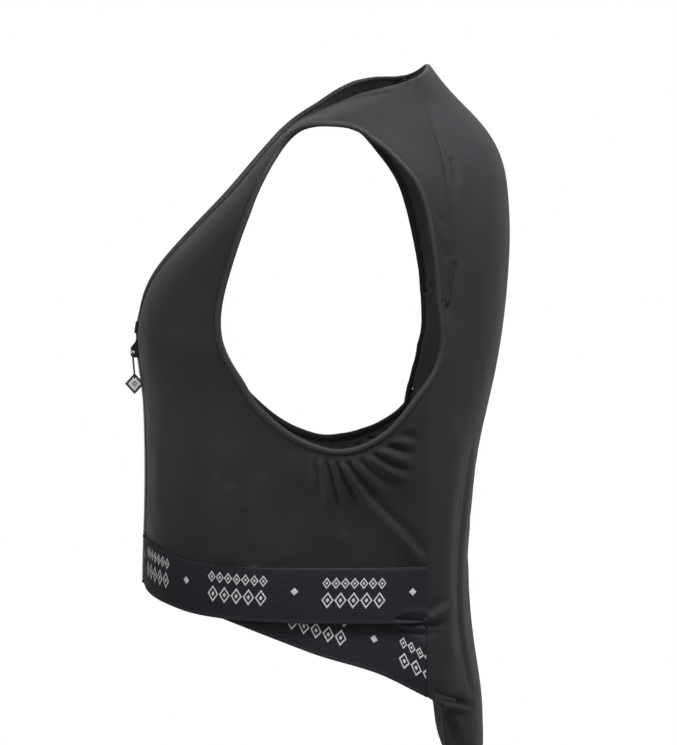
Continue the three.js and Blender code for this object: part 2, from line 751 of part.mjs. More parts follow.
const materials = {
  frontFabric: { color: 0x2b2b2e, roughness: 0.62, metalness: 0 },
  backFabric: { color: 0x37363c, roughness: 0.6, metalness: 0 },
  bindingFabric: { color: 0x333238, roughness: 0.55, metalness: 0 },
  elastic: { color: 0x28262c, roughness: 0.75, metalness: 0 },
  tape: { color: 0x202022, roughness: 0.8, metalness: 0 },
  teeth: { color: 0x18181a, roughness: 0.4, metalness: 0 },
  slider: { color: 0x1c1c1f, roughness: 0.35, metalness: 0.6 },
  cord: { color: 0x1d1d20, roughness: 0.8, metalness: 0 },
  tag: { color: 0x8e8e92, roughness: 0.5, metalness: 0 },
};

const protector = new THREE.Group();

function add(name, geometry, material) {
  geometry.computeVertexNormals();
  const mesh = new THREE.Mesh(geometry, new THREE.MeshStandardMaterial(materials[material]));
  mesh.name = name;
  protector.add(mesh);
  return mesh;
}

function addPair(name, geometry, material) {
  add(`${name}_left`, geometry, material);
  add(`${name}_right`, mirrored(geometry), material);
}

const waistTop = waistbandRow(0).top;
const tapeOuter = -fabricThickness - tapeGap;

add('back_panel', backPanel(), 'backFabric');
addPair('front_panel', frontPanel(), 'frontFabric');
addPair('armhole_binding', binding(armholeAt, armholeShares, 1, true), 'bindingFabric');
addPair('neck_binding', binding(necklineAt, stationShares('neckline'), -1, false), 'bindingFabric');
addPair('waistband', waistbandHalf(), 'elastic');
addPair('kidney_belt', kidneyBeltHalf(), 'elastic');
addPair('zip_tape', zipBar(teethWidth / 2 + gap, teethWidth / 2 + tapeWidth, tapeOuter,
  tapeOuter - tapeThickness, zipTop, waistbandRow(0).bottom, 14), 'tape');
add('zip_teeth', zipTeeth(), 'teeth');
const sliderMesh = add('zip_slider', slider(), 'slider');
sliderMesh.position.copy(sliderSeat);
add('zip_pull_cord', cord(), 'cord');
const tagMesh = add('zip_tag', tag(), 'tag');
tagMesh.position.copy(tagCentre);

export default protector;
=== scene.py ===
import math

import bmesh
import bpy
import numpy as np
from bpy.props import FloatProperty, FloatVectorProperty, IntProperty, PointerProperty
from mathutils import Matrix, Vector, noise
from mathutils.bvhtree import BVHTree
from mathutils.kdtree import KDTree


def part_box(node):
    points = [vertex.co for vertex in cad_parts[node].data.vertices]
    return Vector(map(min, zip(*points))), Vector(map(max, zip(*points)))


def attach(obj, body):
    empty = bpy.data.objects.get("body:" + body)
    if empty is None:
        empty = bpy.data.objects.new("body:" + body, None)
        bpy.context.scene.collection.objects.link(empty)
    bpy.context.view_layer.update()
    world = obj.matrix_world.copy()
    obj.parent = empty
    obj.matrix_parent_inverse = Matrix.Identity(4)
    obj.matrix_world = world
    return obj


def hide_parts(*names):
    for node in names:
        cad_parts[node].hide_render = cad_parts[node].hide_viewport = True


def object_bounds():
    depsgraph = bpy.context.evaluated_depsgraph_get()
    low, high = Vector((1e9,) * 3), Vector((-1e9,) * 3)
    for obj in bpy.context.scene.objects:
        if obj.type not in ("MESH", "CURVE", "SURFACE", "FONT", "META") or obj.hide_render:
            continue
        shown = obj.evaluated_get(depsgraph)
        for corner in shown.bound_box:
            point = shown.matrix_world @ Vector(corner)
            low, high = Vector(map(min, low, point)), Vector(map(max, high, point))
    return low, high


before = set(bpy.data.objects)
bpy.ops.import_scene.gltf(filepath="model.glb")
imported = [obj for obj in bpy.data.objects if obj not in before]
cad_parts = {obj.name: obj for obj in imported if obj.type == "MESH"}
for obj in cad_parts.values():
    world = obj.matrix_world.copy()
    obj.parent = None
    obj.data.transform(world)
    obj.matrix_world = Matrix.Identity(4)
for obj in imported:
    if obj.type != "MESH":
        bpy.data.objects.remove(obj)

bl_info = {
    "name": "Riding body protector",
    "version": (1, 0, 0),
    "blender": (4, 5, 0),
    "location": "View3D > Sidebar > Protector",
    "description": "Dresses the packed solids of a padded riding vest",
    "category": "Object",
}

CAD_LOW, CAD_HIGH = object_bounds()
SIDES = ("left", "right")
MM = 0.001

# The photograph's frame, and the pixel that shows the origin
IMAGE_SIZE = (677, 745)
ORIGIN_PIXEL = (335, 105)
METRES_PER_PIXEL = 0.78 * MM

# On the wearer's left side a pixel shows a point that lies so far forward and up of the point
# that it would show on the middle plane
NEAR_SHIFT = (4.4 * MM, 4.9 * MM)

# The way out of the garment leads away from a core that reaches up to here, and its cloth's grain
# runs round a wearer of this radius
CORE_TOP = -120 * MM
WRAP_RADIUS = 145 * MM

# A face whose normal leans this far towards the way out faces outwards, and the back's folds grow
# from none to their whole height between two such leans
FACING = 0.3
OUTER_FACING = (0.1, 0.6)

# Turns that count as sharp, of a cloth's surface and of a corner, and as flat, in radians
SHARP_FOLD = 0.7
SHARP_CORNER = 0.6
FLAT_FOLD = 0.02

# Points of a solid that lie this close are one corner
DOUBLE_GAP = 0.001 * MM

# The back panel keeps the edges of walls thinner than WING_EDGE, down to the tail, whose edges
# are rounder. Its cover is held where the wall is thin and free where it is thick.
WING_EDGE = 9 * MM
EDGE_HOLD = 0.9
TAIL_TOP = -465 * MM
HELD_WALL, FREE_WALL = 4 * MM, 14 * MM
LEAST_HOLD = 0.02
COVER_STIFFNESS = 12
COVER_BENDING = 0.4
PROBE_START, PROBE_REACH = 0.5 * MM, 50 * MM

# Widest rows of faces before the last rounding
CLOTH_ROW = 6 * MM
BAND_ROW = 2.2 * MM

# A front's points are evened out where they lie farther than this from its edge
CALM_MARGIN = 9 * MM
CALM_ROUNDS = 8

# Folds start so far inside a cloth's edge, and have their whole height at the second distance
FRONT_FLAT_EDGE = (4.4 * MM, 8.5 * MM)
BAND_FLAT_EDGE = (1 * MM, 4 * MM)

# How far a sheet runs on inside a binding, which lies this close to it, and how far and how deep
# the bands do at their ends. Along their length their hems roll in by a share of the seam depth.
BOUND_REACH = 1.1 * MM
BOUND_GAP = 4 * MM
NECK_FOOT = 5 * MM
END_TUCK = (3.5 * MM, 3.0 * MM)
HEM_SHARE = 0.8

# A tuck is made in two steps, each with its share of the reach and of the depth
TUCK_STEPS = ((0.3, 0.35), (0.7, 0.65))

# Edges count as running the same way above the first of these cosines, and a corner between them
# is taken as no sharper than the second
SAME_WAY = 0.9
SHARPEST_MEETING = -0.5

# Points in each ring of a band's outer face, and the least share of its length by which an edge
# that runs up the band rises
BAND_RING = 4
UPRIGHT_RISE = 0.7

# Where the woven pattern starts along each band, from its end at the front
WAIST_PATTERN_START = -7 * MM
BELT_PATTERN_START = 19 * MM

# The bindings wrap round the edges that they bind
BINDING_GROWTH = 1.0 * MM

# The collar's rim lies above this height, its points come in rows at least so far apart, and
# the binding's middle lies inside the rim by so much. Round the collar the binding is thinner
# and closer in. The faces at its rear end that lie within CAP_ANGLE of each other are its cap.
COLLAR_FOOT = 20 * MM
COLLAR_ROW_GAP = 5 * MM
COLLAR_INSET = Vector((0, -1.2, -1.5)) * MM
COLLAR_GROWTH = -0.2
COLLAR_SHARE = 0.982
CAP_ANGLE = 0.1

# The slider closes round the teeth, which the solids leave clear
PULL_MOVE = Vector((0, 2.2, 0)) * MM

# Corners in each ring of the solid bar that stands for the teeth
TEETH_RING = 6

# The size of one tooth, and how far it stands beside and behind the bar's front line, whose slope
# is read over a step. The spine is a share of the bar's width.
TOOTH_SIZE = (2.6 * MM, 2 * MM, 0.95 * MM)
TOOTH_ASIDE = 0.95 * MM
TOOTH_BEHIND = 1.1 * MM
TOOTH_ROUNDING = 0.22 * MM
SLOPE_STEP = 4 * MM
SPINE_SHARE = 0.62
SPINE_BEHIND = 0.9 * MM

# The neck binding's folded ends, beside, behind and below the top of the teeth's front
ZIP_END_SIZE = (5 * MM, 4.4 * MM, 9.5 * MM)
ZIP_END_PLACE = (2.9 * MM, 1.6 * MM, -2.6 * MM)
ZIP_END_LEAN = math.radians(-8)
ZIP_END_ROUNDING = 1.1 * MM
SLIDER_ROUNDING = 0.5 * MM
TAG_ROUNDING = 0.3 * MM


# Settings

def length_property(name, description, default, low, high):
    return FloatProperty(
        name=name, description=description, unit="LENGTH", default=default, min=low, max=high)


def colour_property(name, description, default):
    return FloatVectorProperty(
        name=name, description=description, subtype="COLOR", default=default, min=0, max=1)


class FabricSettings(bpy.types.PropertyGroup):
    front: colour_property(
        "Front panels", "Stretch fabric of the front and sides", (0.0081, 0.0081, 0.0083))
    back: colour_property(
        "Back panel", "Smooth fabric over the padding", (0.0092, 0.0090, 0.0101))
    lining: colour_property(
        "Lining", "Inside of the panels", (0.026, 0.026, 0.028))
    binding: colour_property(
        "Bindings", "Narrow edges of the armholes and neck", (0.0120, 0.0118, 0.0132))
    band: colour_property(
        "Elastic", "Ground of the two waist bands", (0.0088, 0.0086, 0.0106))
    motif: colour_property(
        "Woven pattern", "Light threads of the waist bands", (0.27, 0.27, 0.28))


class SewingSettings(bpy.types.PropertyGroup):
    cloth_thickness: length_property(
        "Cloth thickness", "Thickness of the stretch fabric", 1.4 * MM, 0.5 * MM, 3 * MM)
    tuck_reach: length_property(
        "Seam allowance", "How far a panel runs on under its neighbour", 6.5 * MM, 0, 8 * MM)
    tuck_depth: length_property(
        "Seam depth", "How deep a panel's edge rolls in at a seam", 1.3 * MM, 0, 4 * MM)


class BandSettings(bpy.types.PropertyGroup):
    pitch: length_property(
        "Pattern pitch", "From one woven block to the next", 92 * MM, 20 * MM, 200 * MM)
    block: length_property(
        "Block length", "Length of a woven block along the band", 50 * MM, 5 * MM, 150 * MM)
    width: length_property(
        "Band width", "Width of the elastic", 43 * MM, 10 * MM, 80 * MM)


class PadSettings(bpy.types.PropertyGroup):
    pressure: FloatProperty(
        name="Pressure", description="How hard the padding fills its cover",
        default=4, min=0, max=20)
    frames: IntProperty(
        name="Frames", description="Frames that the cover is left to settle for",
        default=20, min=2, max=60)
    swell: length_property(
        "Largest swell", "How far the cover may move from the solid", 2 * MM, 0, 20 * MM)


class ZipSettings(bpy.types.PropertyGroup):
    tooth_pitch: length_property(
        "Tooth pitch", "From a tooth to the next one on the same side", 2.5 * MM, 1 * MM, 6 * MM)


class StageSettings(bpy.types.PropertyGroup):
    azimuth: FloatProperty(
        name="Azimuth", description="Way round the wearer, from straight ahead of the chest",
        subtype="ANGLE", default=math.radians(88.3))
    elevation: FloatProperty(
        name="Elevation", description="Camera's angle above level",
        subtype="ANGLE", default=math.radians(2.0))
    distance: FloatProperty(
        name="Distance", description="From the camera to the garment",
        unit="LENGTH", default=12, min=1)
    floor_drop: FloatProperty(
        name="Floor", description="Depth of the floor below the garment",
        unit="LENGTH", default=1.0, min=0)


# Shaders

class Value:
    """A number that varies over a surface, whose arithmetic adds Math nodes."""

    def __init__(self, shader, socket):
        self.shader = shader
        self.socket = socket

    def math(self, operation, *operands):
        return self.shader.node("ShaderNodeMath", {"operation": operation}, dict(enumerate(operands)))

    def __add__(self, other):
        return self.math("ADD", self, other)

    __radd__ = __add__

    def __mul__(self, other):
        return self.math("MULTIPLY", self, other)

    __rmul__ = __mul__

    def __sub__(self, other):
        return self.math("SUBTRACT", self, other)

    def __rsub__(self, other):
        return self.math("SUBTRACT", other, self)

    def __truediv__(self, other):
        return self.math("DIVIDE", self, other)

    def __abs__(self):
        return self.math("ABSOLUTE", self)

    def sine(self):
        return self.math("SINE", self)

    def fraction(self):
        return self.math("FRACT", self)

    def least(self, other):
        return self.math("MINIMUM", self, other)

    def most(self, other):
        return self.math("MAXIMUM", self, other)

    def ramp(self, start, end):
        """0 before start and 1 after end, with a smooth rise between them."""
        return self.shader.node(
            "ShaderNodeMapRange", {"interpolation_type": "SMOOTHSTEP"},
            {"Value": self, "From Min": start, "From Max": end})


class Shader:
    """One material, built node by node round its Principled shader."""

    def __init__(self, name):
        self.material = bpy.data.materials.new(name)
        self.material.use_nodes = True
        self.nodes = self.material.node_tree.nodes
        self.links = self.material.node_tree.links
        self.surface = self.nodes["Principled BSDF"]

    def node(self, kind, settings=None, sockets=None, output=0):
        made = self.nodes.new(kind)
        for key, setting in (settings or {}).items():
            setattr(made, key, setting)
        self.fill(made, sockets or {})
        return Value(self, made.outputs[output])

    def fill(self, node, sockets):
        for key, given in sockets.items():
            if isinstance(given, Value):
                self.links.new(given.socket, node.inputs[key])
            else:
                node.inputs[key].default_value = given

    def split(self, vector):
        """The three numbers of a vector"""
        parts = self.nodes.new("ShaderNodeSeparateXYZ")
        self.fill(parts, {0: vector})
        return [Value(self, output) for output in parts.outputs]

    def place(self):
        return self.node("ShaderNodeTexCoord", output="Object")

    def uv(self, name):
        return self.node("ShaderNodeUVMap", {"uv_map": name})

    def grain(self, scale, vector=None, detail=2.0, roughness=0.5):
        """Noise from 0 to 1, with scale features to the metre"""
        return self.node(
            "ShaderNodeTexNoise", {},
            {"Vector": vector or self.place(), "Scale": scale, "Detail": detail, "Roughness": roughness})

    def mix(self, factor, a, b):
        """A colour between two others"""
        return self.node(
            "ShaderNodeMix", {"data_type": "RGBA"},
            {0: factor, 6: rgba(a), 7: rgba(b)}, output=2)

    def finish(self, height=None, depth=0.0, **sockets):
        """Sets the surface, with bumps of a depth in metres where there is a height"""
        named = {key.replace("_", " "): given for key, given in sockets.items()}
        if height is not None:
            named["Normal"] = self.node(
                "ShaderNodeBump", {}, {"Height": height, "Distance": depth}, output="Normal")
        self.fill(self.surface, named)
        return self.material

    def settle_surface(self, **sockets):
        """Sets what is the same all over the surface"""
        for key, given in sockets.items():
            self.surface.inputs[key.replace("_", " ")].default_value = given


def rgba(colour):
    return colour if isinstance(colour, Value) else (*colour, 1)


def shade(colour, factor):
    return tuple(channel * factor for channel in colour)


# How much of the light the smooth cloths and the elastic mirror
CLOTH_GLOSS = 0.04
ELASTIC_GLOSS = 0.03


def wave(place, pitch):
    """Even ridges from 0 to 1"""
    return ((place / pitch) * (2 * math.pi)).sine() * 0.5 + 0.5


def knit(shader, uv, wale, course):
    """The loops of a fine knit: columns of small Vs, as a height from 0 to 1"""
    across, along, _ = shader.split(uv)
    column = abs((across / wale).fraction() - 0.5) * 2
    slant = (along / course + column * 0.6).fraction()
    loop = abs(slant - 0.5) * 2
    return (1 - column * column) * 0.6 + loop * 0.4


def stretch_fabric(name, colour, sheen):
    shader = Shader(name)
    uv = shader.uv("cloth")
    loops = knit(shader, uv, 0.9 * MM, 0.75 * MM)
    mottle = shader.grain(35, detail=3)
    base = shader.mix(mottle.ramp(0.35, 0.7), shade(colour, 0.9), shade(colour, 1.12))
    base = shader.mix(loops.ramp(0.1, 0.9) * 0.5, base, shade(colour, 1.25))
    shader.settle_surface(Sheen_Weight=sheen, Sheen_Roughness=0.45, Specular_IOR_Level=CLOTH_GLOSS)
    return shader.finish(
        height=loops, depth=0.12 * MM, Base_Color=base, Roughness=mottle.ramp(0.2, 0.8) * 0.1 + 0.5)


# The two rows of lozenges in a woven block: height of their middles up the band, half height of a
# lozenge and half width of its outline, in millimetres
MOTIF_ROWS = [
    {"height": 31, "count": 7, "rise": 4.7, "stroke": 0.62},
    {"height": 17.8, "count": 5, "rise": 6.9, "stroke": 0.8},
]


def elastic_motif(along, across):
    """The woven pattern's light threads: blocks of two rows of lozenges, with a small one between"""
    bands = bpy.context.scene.protector_bands
    step = (along / bands.pitch).fraction() - 0.5
    from_middle = step * bands.pitch
    in_block = (abs(from_middle) - bands.block / 2).ramp(0.2 * MM, -0.2 * MM)
    rows = None
    for row in MOTIF_ROWS:
        width = bands.block / row["count"]
        rise = row["rise"] * MM
        aside = abs(((from_middle + bands.block / 2) / width).fraction() - 0.5) * 2
        up = abs(across - row["height"] * MM) / rise
        size = aside + up
        outline = (abs(size - 0.80) * rise - row["stroke"] * MM).ramp(0.35 * MM, -0.1 * MM)
        heart = ((size - 0.27) * rise).ramp(0.3 * MM, -0.1 * MM)
        lozenges = outline.most(heart)
        rows = lozenges if rows is None else rows.most(lozenges)
    beside = bands.pitch / 2 - abs(from_middle)
    lozenge = (abs(beside) + abs(across - 24 * MM)).ramp(3.4 * MM, 2.6 * MM)
    return (rows * in_block).most(lozenge)


def elastic():
    fabric = bpy.context.scene.protector_fabric
    shader = Shader("woven_elastic")
    along, across, _ = shader.split(shader.uv("cloth"))
    threads = elastic_motif(along, across)
    weave = wave(across, 1.25 * MM) * 0.6 + wave(along, 0.8 * MM) * 0.4
    ground = shader.mix(weave, shade(fabric.band, 0.75), shade(fabric.band, 1.3))
    middle = bpy.context.scene.protector_bands.width / 2
    border = abs(across - middle).ramp(18.5 * MM, 20 * MM)
    ground = shader.mix(border, ground, shade(fabric.band, 1.45))
    light = shader.mix(weave * 0.35, fabric.motif, shade(fabric.motif, 0.6))
    shader.settle_surface(Specular_IOR_Level=ELASTIC_GLOSS)
    return shader.finish(
        height=weave + threads * 0.8, depth=0.2 * MM, Base_Color=shader.mix(threads, ground, light),
        Roughness=0.72)


def binding_tape():
    fabric = bpy.context.scene.protector_fabric
    shader = Shader("binding_tape")
    grain = shader.grain(420, detail=2)
    base = shader.mix(grain, shade(fabric.binding, 0.8), shade(fabric.binding, 1.35))
    shader.settle_surface(Specular_IOR_Level=CLOTH_GLOSS)
    return shader.finish(height=grain, depth=0.25 * MM, Base_Color=base, Roughness=0.5)


def zip_tape():
    shader = Shader("zip_tape")
    x, _, z = shader.split(shader.place())
    herringbone = wave(z + abs(x) * 1.2, 0.9 * MM)
    base = shader.mix(herringbone, (0.010, 0.010, 0.011), (0.022, 0.022, 0.024))
    return shader.finish(height=herringbone, depth=0.15 * MM, Base_Color=base, Roughness=0.8)


def moulded_plastic(name, colour, roughness):
    shader = Shader(name)
    skin = shader.grain(1500, detail=2)
    base = shader.mix(skin, shade(colour, 0.85), shade(colour, 1.2))
    return shader.finish(
        height=skin, depth=0.03 * MM, Base_Color=base, Roughness=skin * 0.15 + roughness)


def slider_metal():
    shader = Shader("slider_metal")
    wear = shader.grain(260, detail=4, roughness=0.6)
    base = shader.mix(wear.ramp(0.55, 0.75), (0.012, 0.012, 0.013), (0.05, 0.05, 0.053))
    return shader.finish(
        height=wear, depth=0.04 * MM, Base_Color=base, Metallic=0.75, Roughness=wear * 0.25 + 0.22)


def cord_braid():
    shader = Shader("cord_braid")
    x, y, z = shader.split(shader.place())
    crossing = (((z + x) / (0.7 * MM)) * math.pi).sine() * (((z - y) / (0.7 * MM)) * math.pi).sine()
    base = shader.mix(crossing * 0.5 + 0.5, (0.008, 0.008, 0.009), (0.028, 0.028, 0.03))
    return shader.finish(height=crossing, depth=0.15 * MM, Base_Color=base, Roughness=0.75)


def tag_rubber():
    """Light grey in the middle of each face, with a faint lozenge in it and a dark edge all round"""
    low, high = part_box("zip_tag")
    middle = (low + high) / 2 + PULL_MOVE
    half_width = (high.y - low.y) / 2
    half_height = (high.z - low.z) / 2
    shader = Shader("tag_rubber")
    _, y, z = shader.split(shader.place())
    reach = abs(y - middle.y) / half_width + abs(z - middle.z) / half_height
    panel = reach.ramp(0.70, 0.66)
    lozenge = abs(reach - 0.2).ramp(0.1, 0.14).most(0.35)
    grain = shader.grain(1200, detail=2)
    light = shader.mix(grain, (0.42, 0.42, 0.43), (0.55, 0.55, 0.56))
    base = shader.mix(panel * lozenge, (0.018, 0.018, 0.019), light)
    return shader.finish(height=grain + panel * 2, depth=0.08 * MM, Base_Color=base, Roughness=0.5)


# Mesh helpers

def in_scene(name, data):
    """A new object in the scene"""
    made = bpy.data.objects.new(name, data)
    bpy.context.scene.collection.objects.link(made)
    return made


def as_mesh(bm, name):
    mesh = bpy.data.meshes.new(name)
    bm.to_mesh(mesh)
    bm.free()
    return mesh


def as_bmesh(mesh):
    bm = bmesh.new()
    bm.from_mesh(mesh)
    bpy.data.meshes.remove(mesh)
    return bm


def rounded_block(bm, place, size, rounding, segments):
    """Adds a block of a size at a place, with its edges rounded off"""
    made = bmesh.ops.create_cube(bm, size=1, matrix=place @ Matrix.Diagonal((*size, 1)))
    edges = {e for v in made["verts"] for e in v.link_edges}
    bmesh.ops.bevel(bm, geom=list(edges), offset=rounding, segments=segments, profile=0.5,
                    affect="EDGES", material=-1)


def outward_at(point):
    """The way out of the garment at a point, from a core below the shoulders"""
    return Vector((point.x, point.y, point.z - min(point.z, CORE_TOP))).normalized()


def solid_copy(node):
    """A CAD node's solid with its doubled corners merged and its triangles paired into quads"""
    bm = bmesh.new()
    bm.from_mesh(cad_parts[node].data)
    bmesh.ops.remove_doubles(bm, verts=bm.verts, dist=DOUBLE_GAP)
    bmesh.ops.join_triangles(
        bm, faces=bm.faces, angle_face_threshold=math.pi, angle_shape_threshold=math.pi)
    bm.normal_update()
    return bm


def hold_edges(bm, thickness, hold, lowest):
    """Keeps a thin solid's edges from shrinking as it is rounded, down to a height"""
    crease = bm.edges.layers.float.new("crease_edge")
    for edge in bm.edges:
        if edge.verts[0].co.z > lowest and edge.calc_face_angle(0) > SHARP_FOLD:
            beside_edge = [e for f in edge.link_faces for v in edge.verts for e in v.link_edges
                           if e in f.edges and e is not edge]
            if min(e.calc_length() for e in beside_edge) < thickness:
                edge[crease] = hold


def hold_corners(bm):
    """Keeps the points where three sharp edges meet"""
    held = bm.verts.layers.float.get("crease_vert") or bm.verts.layers.float.new("crease_vert")
    for vert in bm.verts:
        vert[held] = sum(e.calc_face_angle(0) > SHARP_FOLD for e in vert.link_edges) > 2


def outer_sheet(node):
    """The outward faces of a thin CAD solid, as an open sheet"""
    bm = solid_copy(node)
    hidden = [f for f in bm.faces if f.normal.dot(outward_at(f.calc_center_median())) < FACING]
    bmesh.ops.delete(bm, geom=hidden, context="FACES")
    bm.normal_update()
    held = bm.verts.layers.float.new("crease_vert")
    for vert in bm.verts:
        rim = [e.other_vert(vert).co - vert.co for e in vert.link_edges if e.is_boundary]
        if len(rim) == 2 and rim[0].angle(-rim[1]) > SHARP_CORNER:
            vert[held] = 1
    return bm


def ends_of(edge):
    """The places of an edge's ends, which tell it from the others"""
    return frozenset(v.co.copy().freeze() for v in edge.verts)


def tuck_edges(bm, tuck_of):
    """Runs an open sheet's edges on and rolls them in, so that they pass under what they are sewn to"""
    tucks = {e: tuck_of(e) for e in bm.edges if e.is_boundary}
    for share, drop in TUCK_STEPS:
        pulls = {}
        for edge, (reach, depth) in tucks.items():
            face = edge.link_faces[0]
            along = (edge.verts[1].co - edge.verts[0].co).normalized()
            aside = (edge.verts[0].co + edge.verts[1].co) / 2 - face.calc_center_median()
            aside = (aside - along * aside.dot(along)).normalized()
            for vert in edge.verts:
                way = outward_at(vert.co)
                way = way if abs(face.normal.dot(way)) > FACING else face.normal
                pulls.setdefault(vert, []).append((aside, reach * share, way * depth * drop))
        moves = {}
        for vert, (first, second) in pulls.items():
            aside = meeting(*first[:2], *second[:2])
            moves[vert.co.copy().freeze()] = aside - (first[2] + second[2]) / 2
        tuck_at = {ends_of(edge): tuck for edge, tuck in tucks.items()}
        made = bmesh.ops.extrude_edge_only(bm, edges=list(tucks))["geom"]
        rim = [g for g in made if isinstance(g, bmesh.types.BMEdge) and g.is_boundary]
        tucks = {edge: tuck_at[ends_of(edge)] for edge in rim}
        for vert in (g for g in made if isinstance(g, bmesh.types.BMVert)):
            vert.co += moves[vert.co.copy().freeze()]
        bm.normal_update()


def meeting(way_a, reach_a, way_b, reach_b):
    """The move that goes so far along each of two directions"""
    turn = way_a.dot(way_b)
    if turn > SAME_WAY:
        return (way_a * reach_a + way_b * reach_b) / 2
    turn = max(turn, SHARPEST_MEETING)
    share_a = (reach_a - turn * reach_b) / (1 - turn * turn)
    share_b = (reach_b - turn * reach_a) / (1 - turn * turn)
    return way_a * share_a + way_b * share_b


def evaluated_mesh(holder):
    """What an object's modifiers make of its mesh"""
    graph = bpy.context.evaluated_depsgraph_get()
    return bpy.data.meshes.new_from_object(holder.evaluated_get(graph))


def refined(bm, levels):
    """The smooth mesh that a cage stands for"""
    cage = as_mesh(bm, "cage")
    holder = in_scene("cage", cage)
    rounding = holder.modifiers.new("round", "SUBSURF")
    rounding.levels = rounding.render_levels = levels
    rounding.boundary_smooth = "PRESERVE_CORNERS"
    mesh = evaluated_mesh(holder)
    bpy.data.objects.remove(holder)
    bpy.data.meshes.remove(cage)
    return mesh


def cross_cut(bm, longest):
    """Cuts the rows of quads that are wider than a limit into even strips"""
    left = {e for e in bm.edges if e.link_faces}
    wide = []
    while left:
        ring = {left.pop()}
        ends = list(ring)
        while ends:
            edge = ends.pop()
            for face in edge.link_faces:
                if len(face.verts) != 4:
                    continue
                facing = next(e for e in face.edges if not set(e.verts) & set(edge.verts))
                if facing in left:
                    left.discard(facing)
                    ring.add(facing)
                    ends.append(facing)
        mean = sum(e.calc_length() for e in ring) / len(ring)
        if mean > longest:
            wide.append((ring, mean))
    for cuts in sorted({int(mean / longest) for _, mean in wide}):
        edges = [e for ring, mean in wide if int(mean / longest) == cuts for e in ring]
        bmesh.ops.subdivide_edges(bm, edges=edges, cuts=cuts, use_grid_fill=True)


def rim_tree(bm):
    """Finds the nearest point of an open sheet's edge"""
    rim = [v.co.copy() for v in bm.verts if v.is_boundary]
    tree = KDTree(len(rim))
    for index, co in enumerate(rim):
        tree.insert(co, index)
    tree.balance()
    return tree


def relaxed(bm, rounds, margin):
    """Evens out the points of an open sheet that lie farther than a margin from its edge"""
    tree = rim_tree(bm)
    inner = [v for v in bm.verts if not v.is_boundary and tree.find(v.co)[2] > margin]
    for _ in range(rounds):
        bmesh.ops.smooth_vert(
            bm, verts=inner, factor=0.5, use_axis_x=True, use_axis_y=True, use_axis_z=True)


def read_vectors(items, what):
    values = np.empty(len(items) * 3, np.float32)
    items.foreach_get(what, values)
    return values.reshape(-1, 3).astype(float)


def read_points(mesh):
    return read_vectors(mesh.vertices, "co")


def read_normals(mesh):
    return read_vectors(mesh.vertex_normals, "vector")


def write_points(mesh, points):
    mesh.vertices.foreach_set("co", points.astype(np.float32).ravel())
    mesh.update()


def lift(mesh, amount):
    """Moves each point of a mesh out along its normal"""
    write_points(mesh, read_points(mesh) + read_normals(mesh) * amount[:, None])


def edge_distance(mesh, points):
    """How far each point lies from an open sheet's edge"""
    bm = bmesh.new()
    bm.from_mesh(mesh)
    tree = rim_tree(bm)
    bm.free()
    return np.array([tree.find(p)[2] for p in points])


def wrap_uv(mesh, from_back=False):
    """Lays the cloth's grain round the wearer, in metres"""
    layer = mesh.uv_layers.new(name="cloth")
    points = read_points(mesh)
    facing = points[:, 1] if from_back else -points[:, 1]
    angle = np.arctan2(points[:, 0], facing)
    corners = np.empty(len(mesh.loops), np.int32)
    mesh.loops.foreach_get("vertex_index", corners)
    uv = np.stack([angle * WRAP_RADIUS, points[:, 2]], axis=1)[corners]
    layer.data.foreach_set("uv", uv.astype(np.float32).ravel())


def dress(name, mesh, material, node, smooth=True):
    """Makes the finished piece, on the garment's one body, in place of its CAD node if it has one"""
    mesh.name = name
    write_points(mesh, drape(read_points(mesh)))
    piece = in_scene(name, mesh)
    mesh.materials.clear()
    mesh.materials.append(material)
    mesh.polygons.foreach_set("use_smooth", [smooth] * len(mesh.polygons))
    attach(piece, "root")
    if node:
        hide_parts(node)
    return piece


def thicken(piece, thickness, lining=None):
    wall = piece.modifiers.new("wall", "SOLIDIFY")
    if lining:
        piece.data.materials.append(lining)
        wall.material_offset = 1
    wall.thickness = thickness
    wall.offset = -1
    wall.use_even_offset = False


def collar_rim(sign):
    """The back panel's upper rim on one side, from the side of the neck to the nape"""
    points = read_points(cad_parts["back_panel"].data) * (sign, 1, 1)
    points = points[(points[:, 2] > COLLAR_FOOT) & (points[:, 0] > -COLLAR_ROW_GAP / 2)]
    points = points[np.argsort(-points[:, 0])]
    rows = np.split(points, np.where(np.diff(points[:, 0]) < -COLLAR_ROW_GAP)[0] + 1)
    return [Vector(max(row, key=lambda p: p[2]) * (sign, 1, 1)) + COLLAR_INSET for row in rows]


def run_on(bm, route):
    """Lengthens a tube along a route, from the end that lies farthest back"""
    rear = max(bm.faces, key=lambda f: f.calc_center_median().y)
    heading = rear.normal.copy()
    cap = [f for f in bm.faces if f.normal.angle(heading) < CAP_ANGLE
           and (f.calc_center_median() - rear.calc_center_median()).length < COLLAR_ROW_GAP]
    for place in route:
        made = bmesh.ops.extrude_face_region(bm, geom=cap)["geom"]
        bmesh.ops.delete(bm, geom=[f for f in cap if f.is_valid], context="FACES_ONLY")
        cap = [g for g in made if isinstance(g, bmesh.types.BMFace)]
        ring = [g for g in made if isinstance(g, bmesh.types.BMVert)]
        middle = sum((v.co for v in ring), Vector()) / len(ring)
        step = place - middle
        turn = heading.rotation_difference(step).to_matrix()
        bmesh.ops.rotate(bm, verts=ring, cent=middle, matrix=turn)
        bmesh.ops.translate(bm, verts=ring, vec=step)
        heading = step.normalized()
    bm.normal_update()


# Folds

def beside(x, y, sign=1):
    """Where a pixel of the photograph lies in the side view, as metres back and up, on one side"""
    return ((x - ORIGIN_PIXEL[0]) * METRES_PER_PIXEL - NEAR_SHIFT[0] * sign,
            (ORIGIN_PIXEL[1] - y) * METRES_PER_PIXEL + NEAR_SHIFT[1] * sign)


